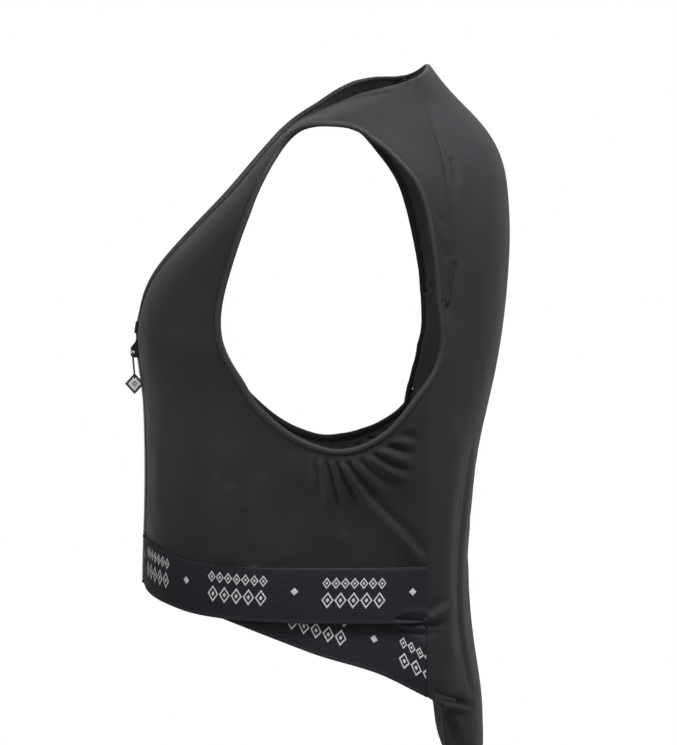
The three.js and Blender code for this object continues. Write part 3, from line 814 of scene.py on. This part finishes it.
# Each fold runs through a few points of the side view, from its gathered end. Heights and
# widths are in millimetres, and a valley has a height below zero.
GATHERS = [
    {"height": 0.6, "width": (2.0, 4.0), "route": [(293, 448), (294, 466), (294, 486)]},
    {"height": 0.6, "width": (1.8, 3.4), "route": [(302, 451), (303, 470), (304, 488)]},
    {"height": 1.0, "width": (1.8, 3.4), "route": [(312, 453), (314, 470), (318, 494)]},
    {"height": -0.8, "width": (1.6, 3.0), "route": [(315.5, 454), (319, 474), (324, 496)]},
    {"height": 1.9, "width": (2.2, 3.8), "route": [(319.5, 454), (323, 472), (327, 492), (331, 520)]},
    {"height": -1.6, "width": (1.8, 3.4), "route": [(326, 456), (330, 474), (336, 498), (341, 518)]},
    {"height": 1.6, "width": (2.0, 3.4), "route": [(331, 456), (336, 472), (343, 492), (350, 512)]},
    {"height": -1.9, "width": (1.7, 3.6), "route": [(334.5, 457), (342, 474), (352, 492), (366, 512)]},
    {"height": 2.8, "width": (2.1, 5.4), "even": True,
     "route": [(339, 456), (347, 473), (359, 491), (376, 511), (395, 530), (411, 547), (427, 566)]},
    {"height": -1.7, "width": (2.4, 4.4), "even": True,
     "route": [(362, 487), (380, 505), (400, 524), (416, 541), (429, 558)]},
    {"height": -1.9, "width": (1.8, 3.2), "route": [(345.5, 457), (356, 474), (370, 490), (384, 503)]},
    {"height": 1.7, "width": (2.0, 3.4), "route": [(351, 457), (362, 471), (376, 485), (392, 498)]},
    {"height": -1.7, "width": (1.8, 3.0), "route": [(358, 456), (370, 468), (386, 480), (404, 490)]},
    {"height": 1.9, "width": (2.0, 3.2), "route": [(364, 454), (378, 464), (394, 474), (414, 483)]},
    {"height": -2.4, "width": (1.7, 2.8), "route": [(371, 451), (382, 458), (396, 465), (416, 473)]},
    {"height": 2.0, "width": (1.9, 2.8), "route": [(376, 448), (388, 454), (402, 460), (419, 466)]},
    {"height": -2.4, "width": (1.6, 2.6), "route": [(382, 443), (393, 447), (404, 450), (419, 455)]},
    {"height": 1.7, "width": (1.8, 2.6), "route": [(388, 438), (398, 441), (408, 443.5), (420, 446)]},
    {"height": -1.3, "width": (1.6, 2.6), "route": [(394, 432), (403, 434), (411, 436), (421, 438)]},
    {"height": 0.9, "width": (1.8, 2.6), "route": [(400, 425), (408, 427), (421, 430)]},
    {"height": 1.4, "width": (5.0, 8.0), "even": True, "route": [(233, 480), (233, 520), (232, 566)]},
    {"height": 0.7, "width": (4.0, 7.0), "even": True, "route": [(220, 470), (221, 515), (219, 564)]},
    {"height": -1.2, "width": (2.5, 4.0), "even": True, "route": [(246, 505), (250, 540), (258, 568)]},
    {"height": 0.9, "width": (8.0, 12.0), "route": [(196, 400), (192, 470), (186, 545)]},
    {"height": 1.0, "width": (7.0, 12.0), "even": True, "route": [(262, 470), (274, 520), (282, 566)]},
    {"height": 0.6, "width": (3.0, 4.0), "route": [(160, 420), (162, 480), (160, 545)]},
    {"height": 0.9, "width": (5.0, 8.0), "even": True, "route": [(345, 530), (356, 548), (362, 566)]},
]

# The seam between the strap and the back, which dents both
SEAM_ROUTE = [(418, 82), (428, 108), (439, 140), (447, 172), (451, 205), (452, 240), (452, 268)]

# The strap, and its narrow end behind the arm
STRAP_FOLDS = [
    {"height": -0.9, "width": (1.8, 2.6), "route": [(432, 212), (440, 222), (449, 228)]},
    {"height": 0.8, "width": (2.0, 2.6), "route": [(434, 232), (442, 240), (450, 244)]},
    {"height": -1.0, "width": (1.8, 2.4), "route": [(437, 248), (443, 256), (450, 259)]},
    {"height": 1.0, "width": (3.0, 4.0), "route": [(436, 262), (441, 285), (443, 310)]},
    {"height": -3.2, "width": (2.0, 2.4), "route": [(453, 262), (450, 282), (447, 306), (446, 326)]},
    {"height": -1.4, "width": (1.8, 1.8), "even": True, "route": SEAM_ROUTE},
    {"height": -0.9, "width": (2.4, 3.0), "route": [(446, 150), (450, 168), (452, 186)]},
    {"height": -1.4, "width": (1.6, 1.6), "even": True,
     "route": [(414, 86), (400, 89), (375, 93), (348, 98), (330, 106), (318, 114), (302, 125)]},
]

BACK_FOLDS = [
    {"height": -3.6, "width": (2.4, 2.8), "route": [(455, 262), (452, 284), (449, 306), (447, 330)]},
    {"height": -1.4, "width": (1.8, 1.8), "even": True, "route": SEAM_ROUTE},
    {"height": 1.0, "width": (3.0, 3.0), "route": [(460, 262), (457, 290), (453, 322)]},
    {"height": -1.4, "width": (2.6, 3.4), "route": [(451, 160), (455, 176), (458, 192)]},
    {"height": 0.7, "width": (5.0, 5.0), "route": [(461, 150), (464, 180), (466, 215)]},
    {"height": -0.9, "width": (3.0, 3.0), "route": [(424, 96), (432, 104), (444, 112)]},
    {"height": -1.8, "width": (1.8, 2.0), "even": True,
     "route": [(477, 436), (471, 470), (466, 505), (461.5, 545), (459.5, 590), (461, 628),
               (467, 662), (475, 702)]},
    {"height": 0.8, "width": (3.0, 3.0), "even": True,
     "route": [(480, 440), (474, 475), (469, 510), (465, 550), (463, 595), (465, 635),
               (471, 668), (478, 702)]},
    {"height": 2.2, "width": (7.0, 7.0), "even": True,
     "route": [(466, 420), (457, 470), (450, 515), (446, 560), (445, 600), (448, 640), (454, 672)]},
    {"height": -4.2, "width": (2.6, 3.6),
     "route": [(432, 691), (441, 695.5), (449, 699), (457, 700), (466, 704), (479, 712)]},
    {"height": 2.4, "width": (2.6, 3.4), "route": [(440, 703), (452, 705.5), (466, 710), (480, 718)]},
    {"height": -2.2, "width": (2.0, 2.6), "route": [(447, 710), (458, 711), (476, 716)]},
    {"height": 1.8, "width": (3.6, 6.0), "route": [(457, 716), (462, 732), (466, 752)]},
    {"height": -2.4, "width": (2.2, 4.6), "route": [(447, 709), (452, 724), (458, 742), (462, 756)]},
    {"height": -2.6, "width": (1.8, 2.6), "route": [(424, 622), (432, 625), (440, 624), (450, 617)]},
    {"height": 2.4, "width": (2.6, 4.0), "route": [(427, 619), (438, 614), (449, 607), (461, 602)]},
    {"height": -1.6, "width": (2.2, 3.4), "route": [(428, 611), (440, 602), (453, 596)]},
    {"height": -1.6, "width": (2.0, 3.0), "route": [(426, 633), (434, 632), (443, 629)]},
]

BELT_FOLDS = [
    {"height": -1.8, "width": (1.4, 2.0), "even": True,
     "route": [(394, 627), (407, 630), (418, 632), (432, 631)]},
    {"height": 1.2, "width": (1.8, 2.2), "even": True, "route": [(397, 624), (409, 625.5), (432, 628)]},
]

WAISTBAND_FOLDS = [
    {"height": -2.0, "width": (1.4, 2.0), "even": True,
     "route": [(394, 617), (406, 617.5), (418, 620), (432, 624)]},
    {"height": 0.9, "width": (2.4, 3.0), "even": True, "route": [(400, 611), (412, 610), (432, 612)]},
]


# A fold's route is cut in this many steps, and its corners are rounded in so many rounds. Past
# FOLD_REACH a fold does nothing. It rises over its first share, and keeps its height up to its
# even or its fading share.
ROUTE_STEPS = 24
ROUTE_ROUNDS = 6
FOLD_REACH = 30 * MM
FOLD_RISE, EVEN_SHARE, FADING_SHARE = 0.12, 0.9, 0.55


def route_points(route):
    """Even steps along a fold's route, rounded at its corners"""
    corners = np.array([beside(x, y) for x, y in route])
    lengths = np.linalg.norm(np.diff(corners, axis=0), axis=1)
    marks = np.concatenate([[0], np.cumsum(lengths)])
    at = np.linspace(0, marks[-1], ROUTE_STEPS)
    points = np.stack([np.interp(at, marks, corners[:, i]) for i in range(2)], axis=1)
    for _ in range(ROUTE_ROUNDS):
        points[1:-1] = (points[:-2] + 2 * points[1:-1] + points[2:]) / 4
    return points


def fold_relief(points, folds):
    """How far the folds lift each point, read in the side view"""
    side = points[:, 1:]
    total = np.zeros(len(points))
    for fold in folds:
        line = route_points(fold["route"])
        near = np.all((side > line.min(0) - FOLD_REACH) & (side < line.max(0) + FOLD_REACH), axis=1)
        if not near.any():
            continue
        gap, along = nearest_on(line, side[near])
        along /= len(line) - 1
        first, last = fold["width"]
        width = (first + (last - first) * along) * MM
        late = EVEN_SHARE if fold.get("even") else FADING_SHARE
        fade = smoothstep(along, 0, FOLD_RISE) * (1 - smoothstep(along, late, 1))
        total[near] += fold["height"] * MM * fade * np.exp(-(gap / width) ** 2)
    return total


# How far from the middle plane the drape starts and has its whole strength
DRAPE_SIDE = (30 * MM, 60 * MM)

# How the cloth hangs unevenly: routes in the side view, each point with its place and its move in
# pixels. They run along the right armhole, both sides of the neck and the left armhole's top.
DRAPE = [
    {"sign": -1, "reach": 13 * MM, "route": [
        (348, 124, 0, 0), (360, 133, -8, 3), (372, 141, -11, 2), (385, 150, -11, 1), (397, 168, -10, 0),
        (409, 200, -8, 0), (418, 240, -5, 0), (424, 270, -3, 0), (426, 295, -3, 0), (428, 320, -6, 0),
        (427, 344, -9, 0), (419, 366, -5, 3),
        (410, 380, 0, 9), (400, 392, 7, 13), (390, 403, 7, 10), (378, 413, 4, 7), (360, 425, 1, 3),
        (340, 433, 0, 0)]},
    {"sign": -1, "reach": 14 * MM, "route": [
        (315, 101, 0, 0), (335, 90, 0, -3), (352, 84, 0, -4), (375, 79, 0, -3), (395, 76, 0, 0)]},
    {"sign": 1, "reach": 11 * MM, "route": [
        (300, 120, 0, 0), (320, 107, 1, 3), (345, 96, 0, 6), (375, 89, 0, 6), (400, 82, 0, 4),
        (412, 80, 0, 1), (420, 76, 0, 0)]},
    {"sign": 1, "reach": 9 * MM, "route": [
        (250, 215, 0, 0), (254, 203, -1, 0), (262, 180, -2, 0), (275, 155, -2, -1), (290, 142, -2, -2),
        (304, 135, -2, -2), (318, 129, -1, -1), (332, 125, 0, 1), (350, 126, -1, 1), (368, 132, -3, 3),
        (378, 137, -5, 5), (390, 146, -5, 4), (400, 159, -4, 3), (412, 185, -1, 0)]},
]


def nearest_on(line, side):
    """For points of the side view: the distance to a line, and how far along it that is in segments"""
    starts, runs = line[:-1], np.diff(line, axis=0)
    offset = side[:, None, :] - starts[None]
    share = np.clip((offset * runs).sum(2) / (runs * runs).sum(1), 0, 1)
    gap = np.linalg.norm(offset - share[..., None] * runs, axis=2)
    which = gap.argmin(1)
    rows = np.arange(len(which))
    return gap[rows, which], which + share[rows, which]


def drape(points):
    """Where each point hangs"""
    result = points.copy()
    for pull in DRAPE:
        line = np.array([beside(x, y, pull["sign"]) for x, y, _, _ in pull["route"]])
        moves = np.array([(dx, -dy) for _, _, dx, dy in pull["route"]]) * METRES_PER_PIXEL
        gap, along = nearest_on(line, points[:, 1:])
        near = np.exp(-(gap / pull["reach"]) ** 2)
        near *= smoothstep(points[:, 0] * pull["sign"], *DRAPE_SIDE)
        for axis in range(2):
            result[:, 1 + axis] += near * np.interp(along, np.arange(len(line)), moves[:, axis])
    return result


def smoothstep(value, start, end):
    t = np.clip((value - start) / (end - start), 0, 1)
    return t * t * (3 - 2 * t)


# Soft unevenness of each cloth: waves to the metre along each axis, seed, and height in millimetres
FRONT_DRIFT = [
    {"waves": (16, 16, 7), "seed": 3.1, "height": 0.7},
    {"waves": (45, 45, 20), "seed": 8.4, "height": 0.18},
]
BACK_DRIFT = [{"waves": (14, 14, 8), "seed": 5.2, "height": 0.5}]
BAND_DRIFT = [{"waves": (30, 30, 18), "seed": 2.2, "height": 0.25}]


def drift(points, layers):
    """How far the unevenness lifts each point"""
    total = np.zeros(len(points))
    for layer in layers:
        seed = layer["seed"]
        shift = Vector((seed, seed * 0.7, seed * 1.3))
        stretch = Vector(layer["waves"])
        lifts = [noise.noise(Vector(p) * stretch + shift) for p in points]
        total += np.array(lifts) * layer["height"] * MM
    return total


# Pieces

# The studio's lamps: where each stands, what it is aimed at and its width in metres, its power in
# watts, and the spread of its beam in degrees
LAMPS = [
    {"name": "key", "place": (0.60, 0.45, 0.75), "aim": (0.06, 0.06, 0.04),
     "size": 0.45, "power": 6.5, "spread": 70},
    {"name": "top", "place": (0.90, 0.00, 1.30), "aim": (0.00, 0.00, -0.20),
     "size": 0.9, "power": 28, "spread": 180},
    {"name": "front", "place": (1.50, -1.20, 0.80), "aim": (0.00, 0.00, -0.20),
     "size": 1.2, "power": 2, "spread": 180},
    {"name": "side", "place": (0.45, -1.25, 0.15), "aim": (0.14, 0.035, -0.30),
     "size": 0.15, "power": 0.16, "spread": 9},
    {"name": "far", "place": (-1.00, 0.30, 1.20), "aim": (0.00, 0.00, -0.20),
     "size": 1.0, "power": 9, "spread": 180},
]
FLOOR_RADIUS = 4
CLIP_END = 100


class PROTECTOR_OT_stage(bpy.types.Operator):
    """Makes the floor, the light and the camera at the photograph's angle"""
    bl_idname = "protector.stage"
    bl_label = "Stage"

    def execute(self, context):
        settings = context.scene.protector_stage
        self.add_camera(context, settings)
        self.add_floor(settings)
        self.add_lamps()
        world = bpy.data.worlds.new("studio")
        world.use_nodes = True
        background = world.node_tree.nodes["Background"].inputs
        background["Color"].default_value = (1, 1, 1, 1)
        background["Strength"].default_value = 1.0
        context.scene.world = world
        context.scene.view_settings.view_transform = "Standard"
        return {"FINISHED"}

    def add_camera(self, context, settings):
        data = bpy.data.cameras.new("photo_camera")
        camera = in_scene("photo_camera", data)
        across = (IMAGE_SIZE[0] / 2 - ORIGIN_PIXEL[0]) * METRES_PER_PIXEL
        down = (IMAGE_SIZE[1] / 2 - ORIGIN_PIXEL[1]) * METRES_PER_PIXEL
        target = Vector((0, across, -down))
        level = math.cos(settings.elevation)
        back = Vector((math.sin(settings.azimuth) * level, -math.cos(settings.azimuth) * level,
                       math.sin(settings.elevation)))
        camera.location = target + back * settings.distance
        camera.rotation_mode = "QUATERNION"
        camera.rotation_quaternion = (-back).to_track_quat("-Z", "Y")
        data.lens = data.sensor_width * settings.distance / (max(IMAGE_SIZE) * METRES_PER_PIXEL)
        data.clip_end = CLIP_END
        context.scene.camera = camera

    def add_floor(self, settings):
        bm = bmesh.new()
        bmesh.ops.create_circle(bm, cap_ends=True, segments=96, radius=FLOOR_RADIUS)
        bmesh.ops.translate(bm, verts=bm.verts, vec=(0, 0, CAD_LOW.z - settings.floor_drop))
        mesh = as_mesh(bm, "floor")
        shader = Shader("pale_floor")
        paint = shader.mix(shader.grain(3), (0.90, 0.90, 0.90), (0.94, 0.94, 0.94))
        mesh.materials.append(shader.finish(Base_Color=paint, Roughness=0.9))
        in_scene("floor", mesh)

    def add_lamps(self):
        for row in LAMPS:
            data = bpy.data.lights.new(row["name"], "AREA")
            data.size = row["size"]
            data.energy = row["power"]
            data.spread = math.radians(row["spread"])
            lamp = in_scene(row["name"], data)
            lamp.location = row["place"]
            lamp.rotation_mode = "QUATERNION"
            way = Vector(row["aim"]) - Vector(row["place"])
            lamp.rotation_quaternion = way.to_track_quat("-Z", "Y")


class PROTECTOR_OT_front_panels(bpy.types.Operator):
    """Sews the two stretch front panels, with the gathers under the armholes"""
    bl_idname = "protector.front_panels"
    bl_label = "Front panels"

    def execute(self, context):
        fabric = context.scene.protector_fabric
        sewing = context.scene.protector_sewing
        material = stretch_fabric("front_knit", fabric.front, 0.004)
        lining = stretch_fabric("front_lining", fabric.lining, 0)
        for side in SIDES:
            node = f"front_panel_{side}"
            sheet = outer_sheet(node)
            bound = bound_edges(sheet, side)
            hidden = (BOUND_REACH, sewing.tuck_depth)
            sewn = (sewing.tuck_reach, sewing.tuck_depth)
            tuck_edges(sheet, lambda edge: hidden if edge in bound else sewn)
            sheet = as_bmesh(refined(sheet, 1))
            cross_cut(sheet, CLOTH_ROW)
            relaxed(sheet, CALM_ROUNDS, CALM_MARGIN)
            mesh = refined(sheet, 1)
            points = read_points(mesh)
            inside = smoothstep(edge_distance(mesh, points), *FRONT_FLAT_EDGE)
            folds = fold_relief(points, GATHERS) + fold_relief(points, STRAP_FOLDS)
            lift(mesh, inside * (folds + drift(points, FRONT_DRIFT)))
            wrap_uv(mesh)
            piece = dress(f"front_cloth_{side}", mesh, material, node)
            thicken(piece, sewing.cloth_thickness, lining)
        return {"FINISHED"}


def bound_edges(sheet, side):
    """The edges of a front sheet that lie in a binding"""
    bm = bmesh.new()
    for edge in ("armhole", "neck"):
        bm.from_mesh(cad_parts[f"{edge}_binding_{side}"].data)
    tree = BVHTree.FromBMesh(bm)
    bm.free()
    rim = [e for e in sheet.edges if e.is_boundary]
    near = {v for e in rim for v in e.verts if tree.find_nearest(v.co)[3] < BOUND_GAP}
    at_neck = {v for v in near if v.co.z > NECK_FOOT}
    return {e for e in rim if set(e.verts) <= near or set(e.verts) & at_neck}


def crosses_band(edge):
    """Whether an edge runs up the band rather than along it"""
    run = edge.verts[1].co - edge.verts[0].co
    return abs(run.z) > run.length * UPRIGHT_RISE


class PROTECTOR_OT_back_panel(bpy.types.Operator):
    """Fills the padded back panel by cloth simulation, and gives it its tail folds"""
    bl_idname = "protector.back_panel"
    bl_label = "Back panel"

    def execute(self, context):
        fabric = context.scene.protector_fabric
        cage = solid_copy("back_panel")
        hold_edges(cage, WING_EDGE, EDGE_HOLD, TAIL_TOP)
        hold_corners(cage)
        cage = as_bmesh(refined(cage, 1))
        hold_corners(cage)
        cross_cut(cage, CLOTH_ROW)
        mesh = as_mesh(cage, "back_pad")
        mesh = self.settle(context, mesh, read_points(mesh))
        mesh = refined(as_bmesh(mesh), 1)
        points = read_points(mesh)
        outward = np.array([outward_at(Vector(p)) for p in points])
        facing = (read_normals(mesh) * outward).sum(1)
        outer = smoothstep(facing, *OUTER_FACING)
        lift(mesh, outer * (fold_relief(points, BACK_FOLDS) + drift(points, BACK_DRIFT)))
        wrap_uv(mesh, from_back=True)
        material = stretch_fabric("back_knit", fabric.back, 0.004)
        piece = dress("back_pad", mesh, material, "back_panel")
        mesh.materials.append(stretch_fabric("back_lining", fabric.lining, 0))
        for face in mesh.polygons:
            face.material_index = int(face.normal.dot(outward_at(face.center)) < -FACING)
        return {"FINISHED"}

    def settle(self, context, mesh, rest):
        """Blows the cover up a little round its filling, with the thin wings held"""
        pad = context.scene.protector_pad
        body = in_scene("filling", mesh)
        held = body.vertex_groups.new(name="held")
        thickness = self.wall_thickness(mesh, rest)
        hold = 1 - smoothstep(thickness, HELD_WALL, FREE_WALL)
        for index, weight in enumerate(hold):
            held.add([index], float(LEAST_HOLD + (1 - LEAST_HOLD) * weight), "REPLACE")
        cloth = body.modifiers.new("cover", "CLOTH")
        settings = cloth.settings
        settings.quality = 4
        settings.use_pressure = True
        settings.uniform_pressure_force = pad.pressure
        settings.vertex_group_mass = "held"
        settings.pin_stiffness = 1
        settings.effector_weights.gravity = 0
        settings.tension_stiffness = settings.compression_stiffness = COVER_STIFFNESS
        settings.bending_stiffness = COVER_BENDING
        for number in range(1, pad.frames + 1):
            context.scene.frame_set(number)
        filled = evaluated_mesh(body)
        context.scene.frame_set(1)
        bpy.data.objects.remove(body)
        moved = read_points(filled) - rest
        reach = np.linalg.norm(moved, axis=1)
        moved *= np.minimum(1, pad.swell / np.maximum(reach, 1e-9))[:, None]
        write_points(filled, rest + moved)
        return filled

    def wall_thickness(self, mesh, points):
        """How thick the panel is behind each point"""
        bm = bmesh.new()
        bm.from_mesh(mesh)
        tree = BVHTree.FromBMesh(bm)
        normals = read_normals(mesh)
        result = np.zeros(len(points))
        for index, (point, normal) in enumerate(zip(points, normals)):
            inward = -Vector(normal)
            hit = tree.ray_cast(Vector(point) + inward * PROBE_START, inward, PROBE_REACH)
            result[index] = hit[3] if hit[3] is not None else 0
        bm.free()
        return result


class PROTECTOR_OT_bindings(bpy.types.Operator):
    """Binds the armholes and the neckline"""
    bl_idname = "protector.bindings"
    bl_label = "Bindings"

    def execute(self, context):
        material = binding_tape()
        for edge in ("armhole", "neck"):
            for side in SIDES:
                node = f"{edge}_binding_{side}"
                tube = solid_copy(node)
                for vert in tube.verts:
                    thin = edge == "neck" and vert.co.z > COLLAR_FOOT * 0.9
                    vert.co += vert.normal * BINDING_GROWTH * (COLLAR_GROWTH if thin else 1)
                    vert.co.x *= COLLAR_SHARE if thin else 1
                if edge == "neck":
                    run_on(tube, collar_rim(1 if side == "left" else -1))
                dress(f"{edge}_tape_{side}", refined(tube, 2), material, node)
        return {"FINISHED"}


class PROTECTOR_OT_bands(bpy.types.Operator):
    """Weaves the two elastic bands on each side"""
    bl_idname = "protector.bands"
    bl_label = "Waist bands"

    def execute(self, context):
        material = elastic()
        for side in SIDES:
            self.add_band(context, f"waistband_{side}", f"waist_elastic_{side}", material,
                          WAIST_PATTERN_START, WAISTBAND_FOLDS)
            self.add_band(context, f"kidney_belt_{side}", f"belt_elastic_{side}", material,
                          BELT_PATTERN_START, BELT_FOLDS)
        return {"FINISHED"}

    def add_band(self, context, node, name, material, start, folds):
        sewing = context.scene.protector_sewing
        sheet = outer_sheet(node)
        self.lay_uv(sheet, start)
        hem = (BOUND_REACH, sewing.tuck_depth * HEM_SHARE)
        tuck_edges(sheet, lambda edge: END_TUCK if crosses_band(edge) else hem)
        sheet = as_bmesh(refined(sheet, 2))
        cross_cut(sheet, BAND_ROW)
        mesh = refined(sheet, 1)
        points = read_points(mesh)
        inside = smoothstep(edge_distance(mesh, points), *BAND_FLAT_EDGE)
        lift(mesh, inside * (fold_relief(points, folds) + drift(points, BAND_DRIFT)))
        piece = dress(name, mesh, material, node)
        thicken(piece, sewing.cloth_thickness)

    def lay_uv(self, sheet, start):
        """Runs the weave along the band: across the sheet's rings, then up each ring"""
        layer = sheet.loops.layers.uv.new("cloth")
        order = sorted(sheet.verts, key=lambda v: math.atan2(abs(v.co.x), -v.co.y))
        rings = [sorted(order[i:i + BAND_RING], key=lambda v: v.co.z)
                 for i in range(0, len(order), BAND_RING)]
        place = {}
        along = start
        before = None
        for ring in rings:
            middle = sum((v.co for v in ring), Vector()) / len(ring)
            if before is not None:
                along += (middle - before).length
            before = middle
            low = ring[0].co
            for vert in ring:
                place[vert] = (along, (vert.co - low).length)
        for face in sheet.faces:
            for loop in face.loops:
                loop[layer].uv = place[loop.vert]


class PROTECTOR_OT_zip(bpy.types.Operator):
    """Makes the zip's teeth, slider, cord and tag"""
    bl_idname = "protector.zip"
    bl_label = "Centre zip"

    def execute(self, context):
        tape = zip_tape()
        for side in SIDES:
            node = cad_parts[f"zip_tape_{side}"]
            node.data.materials.clear()
            node.data.materials.append(tape)
        self.add_teeth(context.scene.protector_zip.tooth_pitch)
        self.add_rounded("zip_slider", "slider", slider_metal(), "slider", SLIDER_ROUNDING)
        self.add_rounded("zip_tag", "rubber_tag", tag_rubber(), "tag", TAG_ROUNDING)
        cord = refined(solid_copy("zip_pull_cord"), 2)
        cord.transform(Matrix.Translation(PULL_MOVE))
        dress("pull_cord", cord, cord_braid(), "zip_pull_cord")
        self.add_zip_ends()
        return {"FINISHED"}

    def add_zip_ends(self):
        """The folded ends of the neck binding, which stand over the top of the zip"""
        material = bpy.data.materials["binding_tape"]
        low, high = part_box("zip_teeth")
        aside, behind, below = ZIP_END_PLACE
        for sign, side in ((1, "left"), (-1, "right")):
            bm = bmesh.new()
            place = Matrix.Translation((sign * aside, low.y + behind, high.z + below))
            lean = Matrix.Rotation(ZIP_END_LEAN, 4, "X")
            rounded_block(bm, place @ lean, ZIP_END_SIZE, ZIP_END_ROUNDING, 3)
            mesh = as_mesh(bm, f"zip_end_{side}")
            dress(f"zip_end_{side}", mesh, material, None)

    def add_rounded(self, node, name, material, slot, width):
        """A hard piece with its corners rounded off"""
        bm = bmesh.new()
        bm.from_mesh(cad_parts[node].data)
        bmesh.ops.remove_doubles(bm, verts=bm.verts, dist=DOUBLE_GAP)
        bmesh.ops.dissolve_limit(bm, angle_limit=FLAT_FOLD, verts=bm.verts, edges=bm.edges)
        sharp = [e for e in bm.edges if e.calc_face_angle(0) > SHARP_CORNER]
        bmesh.ops.bevel(bm, geom=sharp, offset=width, offset_type="OFFSET", segments=3, profile=0.5,
                        affect="EDGES", material=-1, clamp_overlap=True)
        mesh = as_mesh(bm, name)
        mesh.transform(Matrix.Translation(PULL_MOVE))
        dress(name, mesh, material, node, smooth=False)

    def add_teeth(self, pitch):
        """Small blocks that interlock down the middle, on a thin spine"""
        core = solid_copy("zip_teeth")
        rows = np.array(sorted((-v.co.z, v.co.y) for v in core.verts)).reshape(-1, TEETH_RING, 2)
        heights, depths = -rows[:, :, 0].mean(axis=1), rows[:, :, 1].min(axis=1)
        marks = np.arange(heights[0] - pitch, heights[-1] + pitch / 2, -pitch / 2)
        bm = bmesh.new()
        for index, z in enumerate(marks):
            side = 1 if index % 2 else -1
            y = float(np.interp(-z, -heights, depths))
            above = float(np.interp(-z - SLOPE_STEP, -heights, depths))
            place = Matrix.Translation((side * TOOTH_ASIDE, y + TOOTH_BEHIND, z))
            lean = Matrix.Rotation(-math.atan2(y - above, SLOPE_STEP), 4, "X")
            rounded_block(bm, place @ lean, TOOTH_SIZE, TOOTH_ROUNDING, 1)
        bmesh.ops.scale(core, verts=core.verts, vec=(SPINE_SHARE, 1, 1))
        bmesh.ops.translate(core, verts=core.verts, vec=(0, SPINE_BEHIND, 0))
        spine = as_mesh(core, "spine")
        bm.from_mesh(spine)
        bpy.data.meshes.remove(spine)
        plastic = moulded_plastic("tooth_plastic", (0.018, 0.018, 0.019), 0.35)
        dress("moulded_teeth", as_mesh(bm, "teeth"), plastic, "zip_teeth")


class PROTECTOR_PT_panel(bpy.types.Panel):
    """Lists the garment's pieces and their settings"""
    bl_label = "Riding body protector"
    bl_idname = "PROTECTOR_PT_panel"
    bl_space_type = "VIEW_3D"
    bl_region_type = "UI"
    bl_category = "Protector"

    def draw(self, context):
        for name in SETTINGS:
            box = self.layout.box()
            group = getattr(context.scene, f"protector_{name}")
            for key in group.__annotations__:
                box.prop(group, key)
        for operator in OPERATORS:
            self.layout.operator(operator.bl_idname)


SETTINGS = {
    "fabric": FabricSettings,
    "sewing": SewingSettings,
    "bands": BandSettings,
    "pad": PadSettings,
    "zip": ZipSettings,
    "stage": StageSettings,
}
OPERATORS = (
    PROTECTOR_OT_stage,
    PROTECTOR_OT_back_panel,
    PROTECTOR_OT_front_panels,
    PROTECTOR_OT_bindings,
    PROTECTOR_OT_bands,
    PROTECTOR_OT_zip,
)
CLASSES = (*SETTINGS.values(), *OPERATORS, PROTECTOR_PT_panel)


def register():
    for cls in CLASSES:
        bpy.utils.register_class(cls)
    for name, group in SETTINGS.items():
        setattr(bpy.types.Scene, f"protector_{name}", PointerProperty(type=group))


def unregister():
    for name in SETTINGS:
        delattr(bpy.types.Scene, f"protector_{name}")
    for cls in reversed(CLASSES):
        bpy.utils.unregister_class(cls)


def main():
    register()
    for operator in OPERATORS:
        module, name = operator.bl_idname.split(".")
        getattr(getattr(bpy.ops, module), name)()


if __name__ == "__main__":
    main()
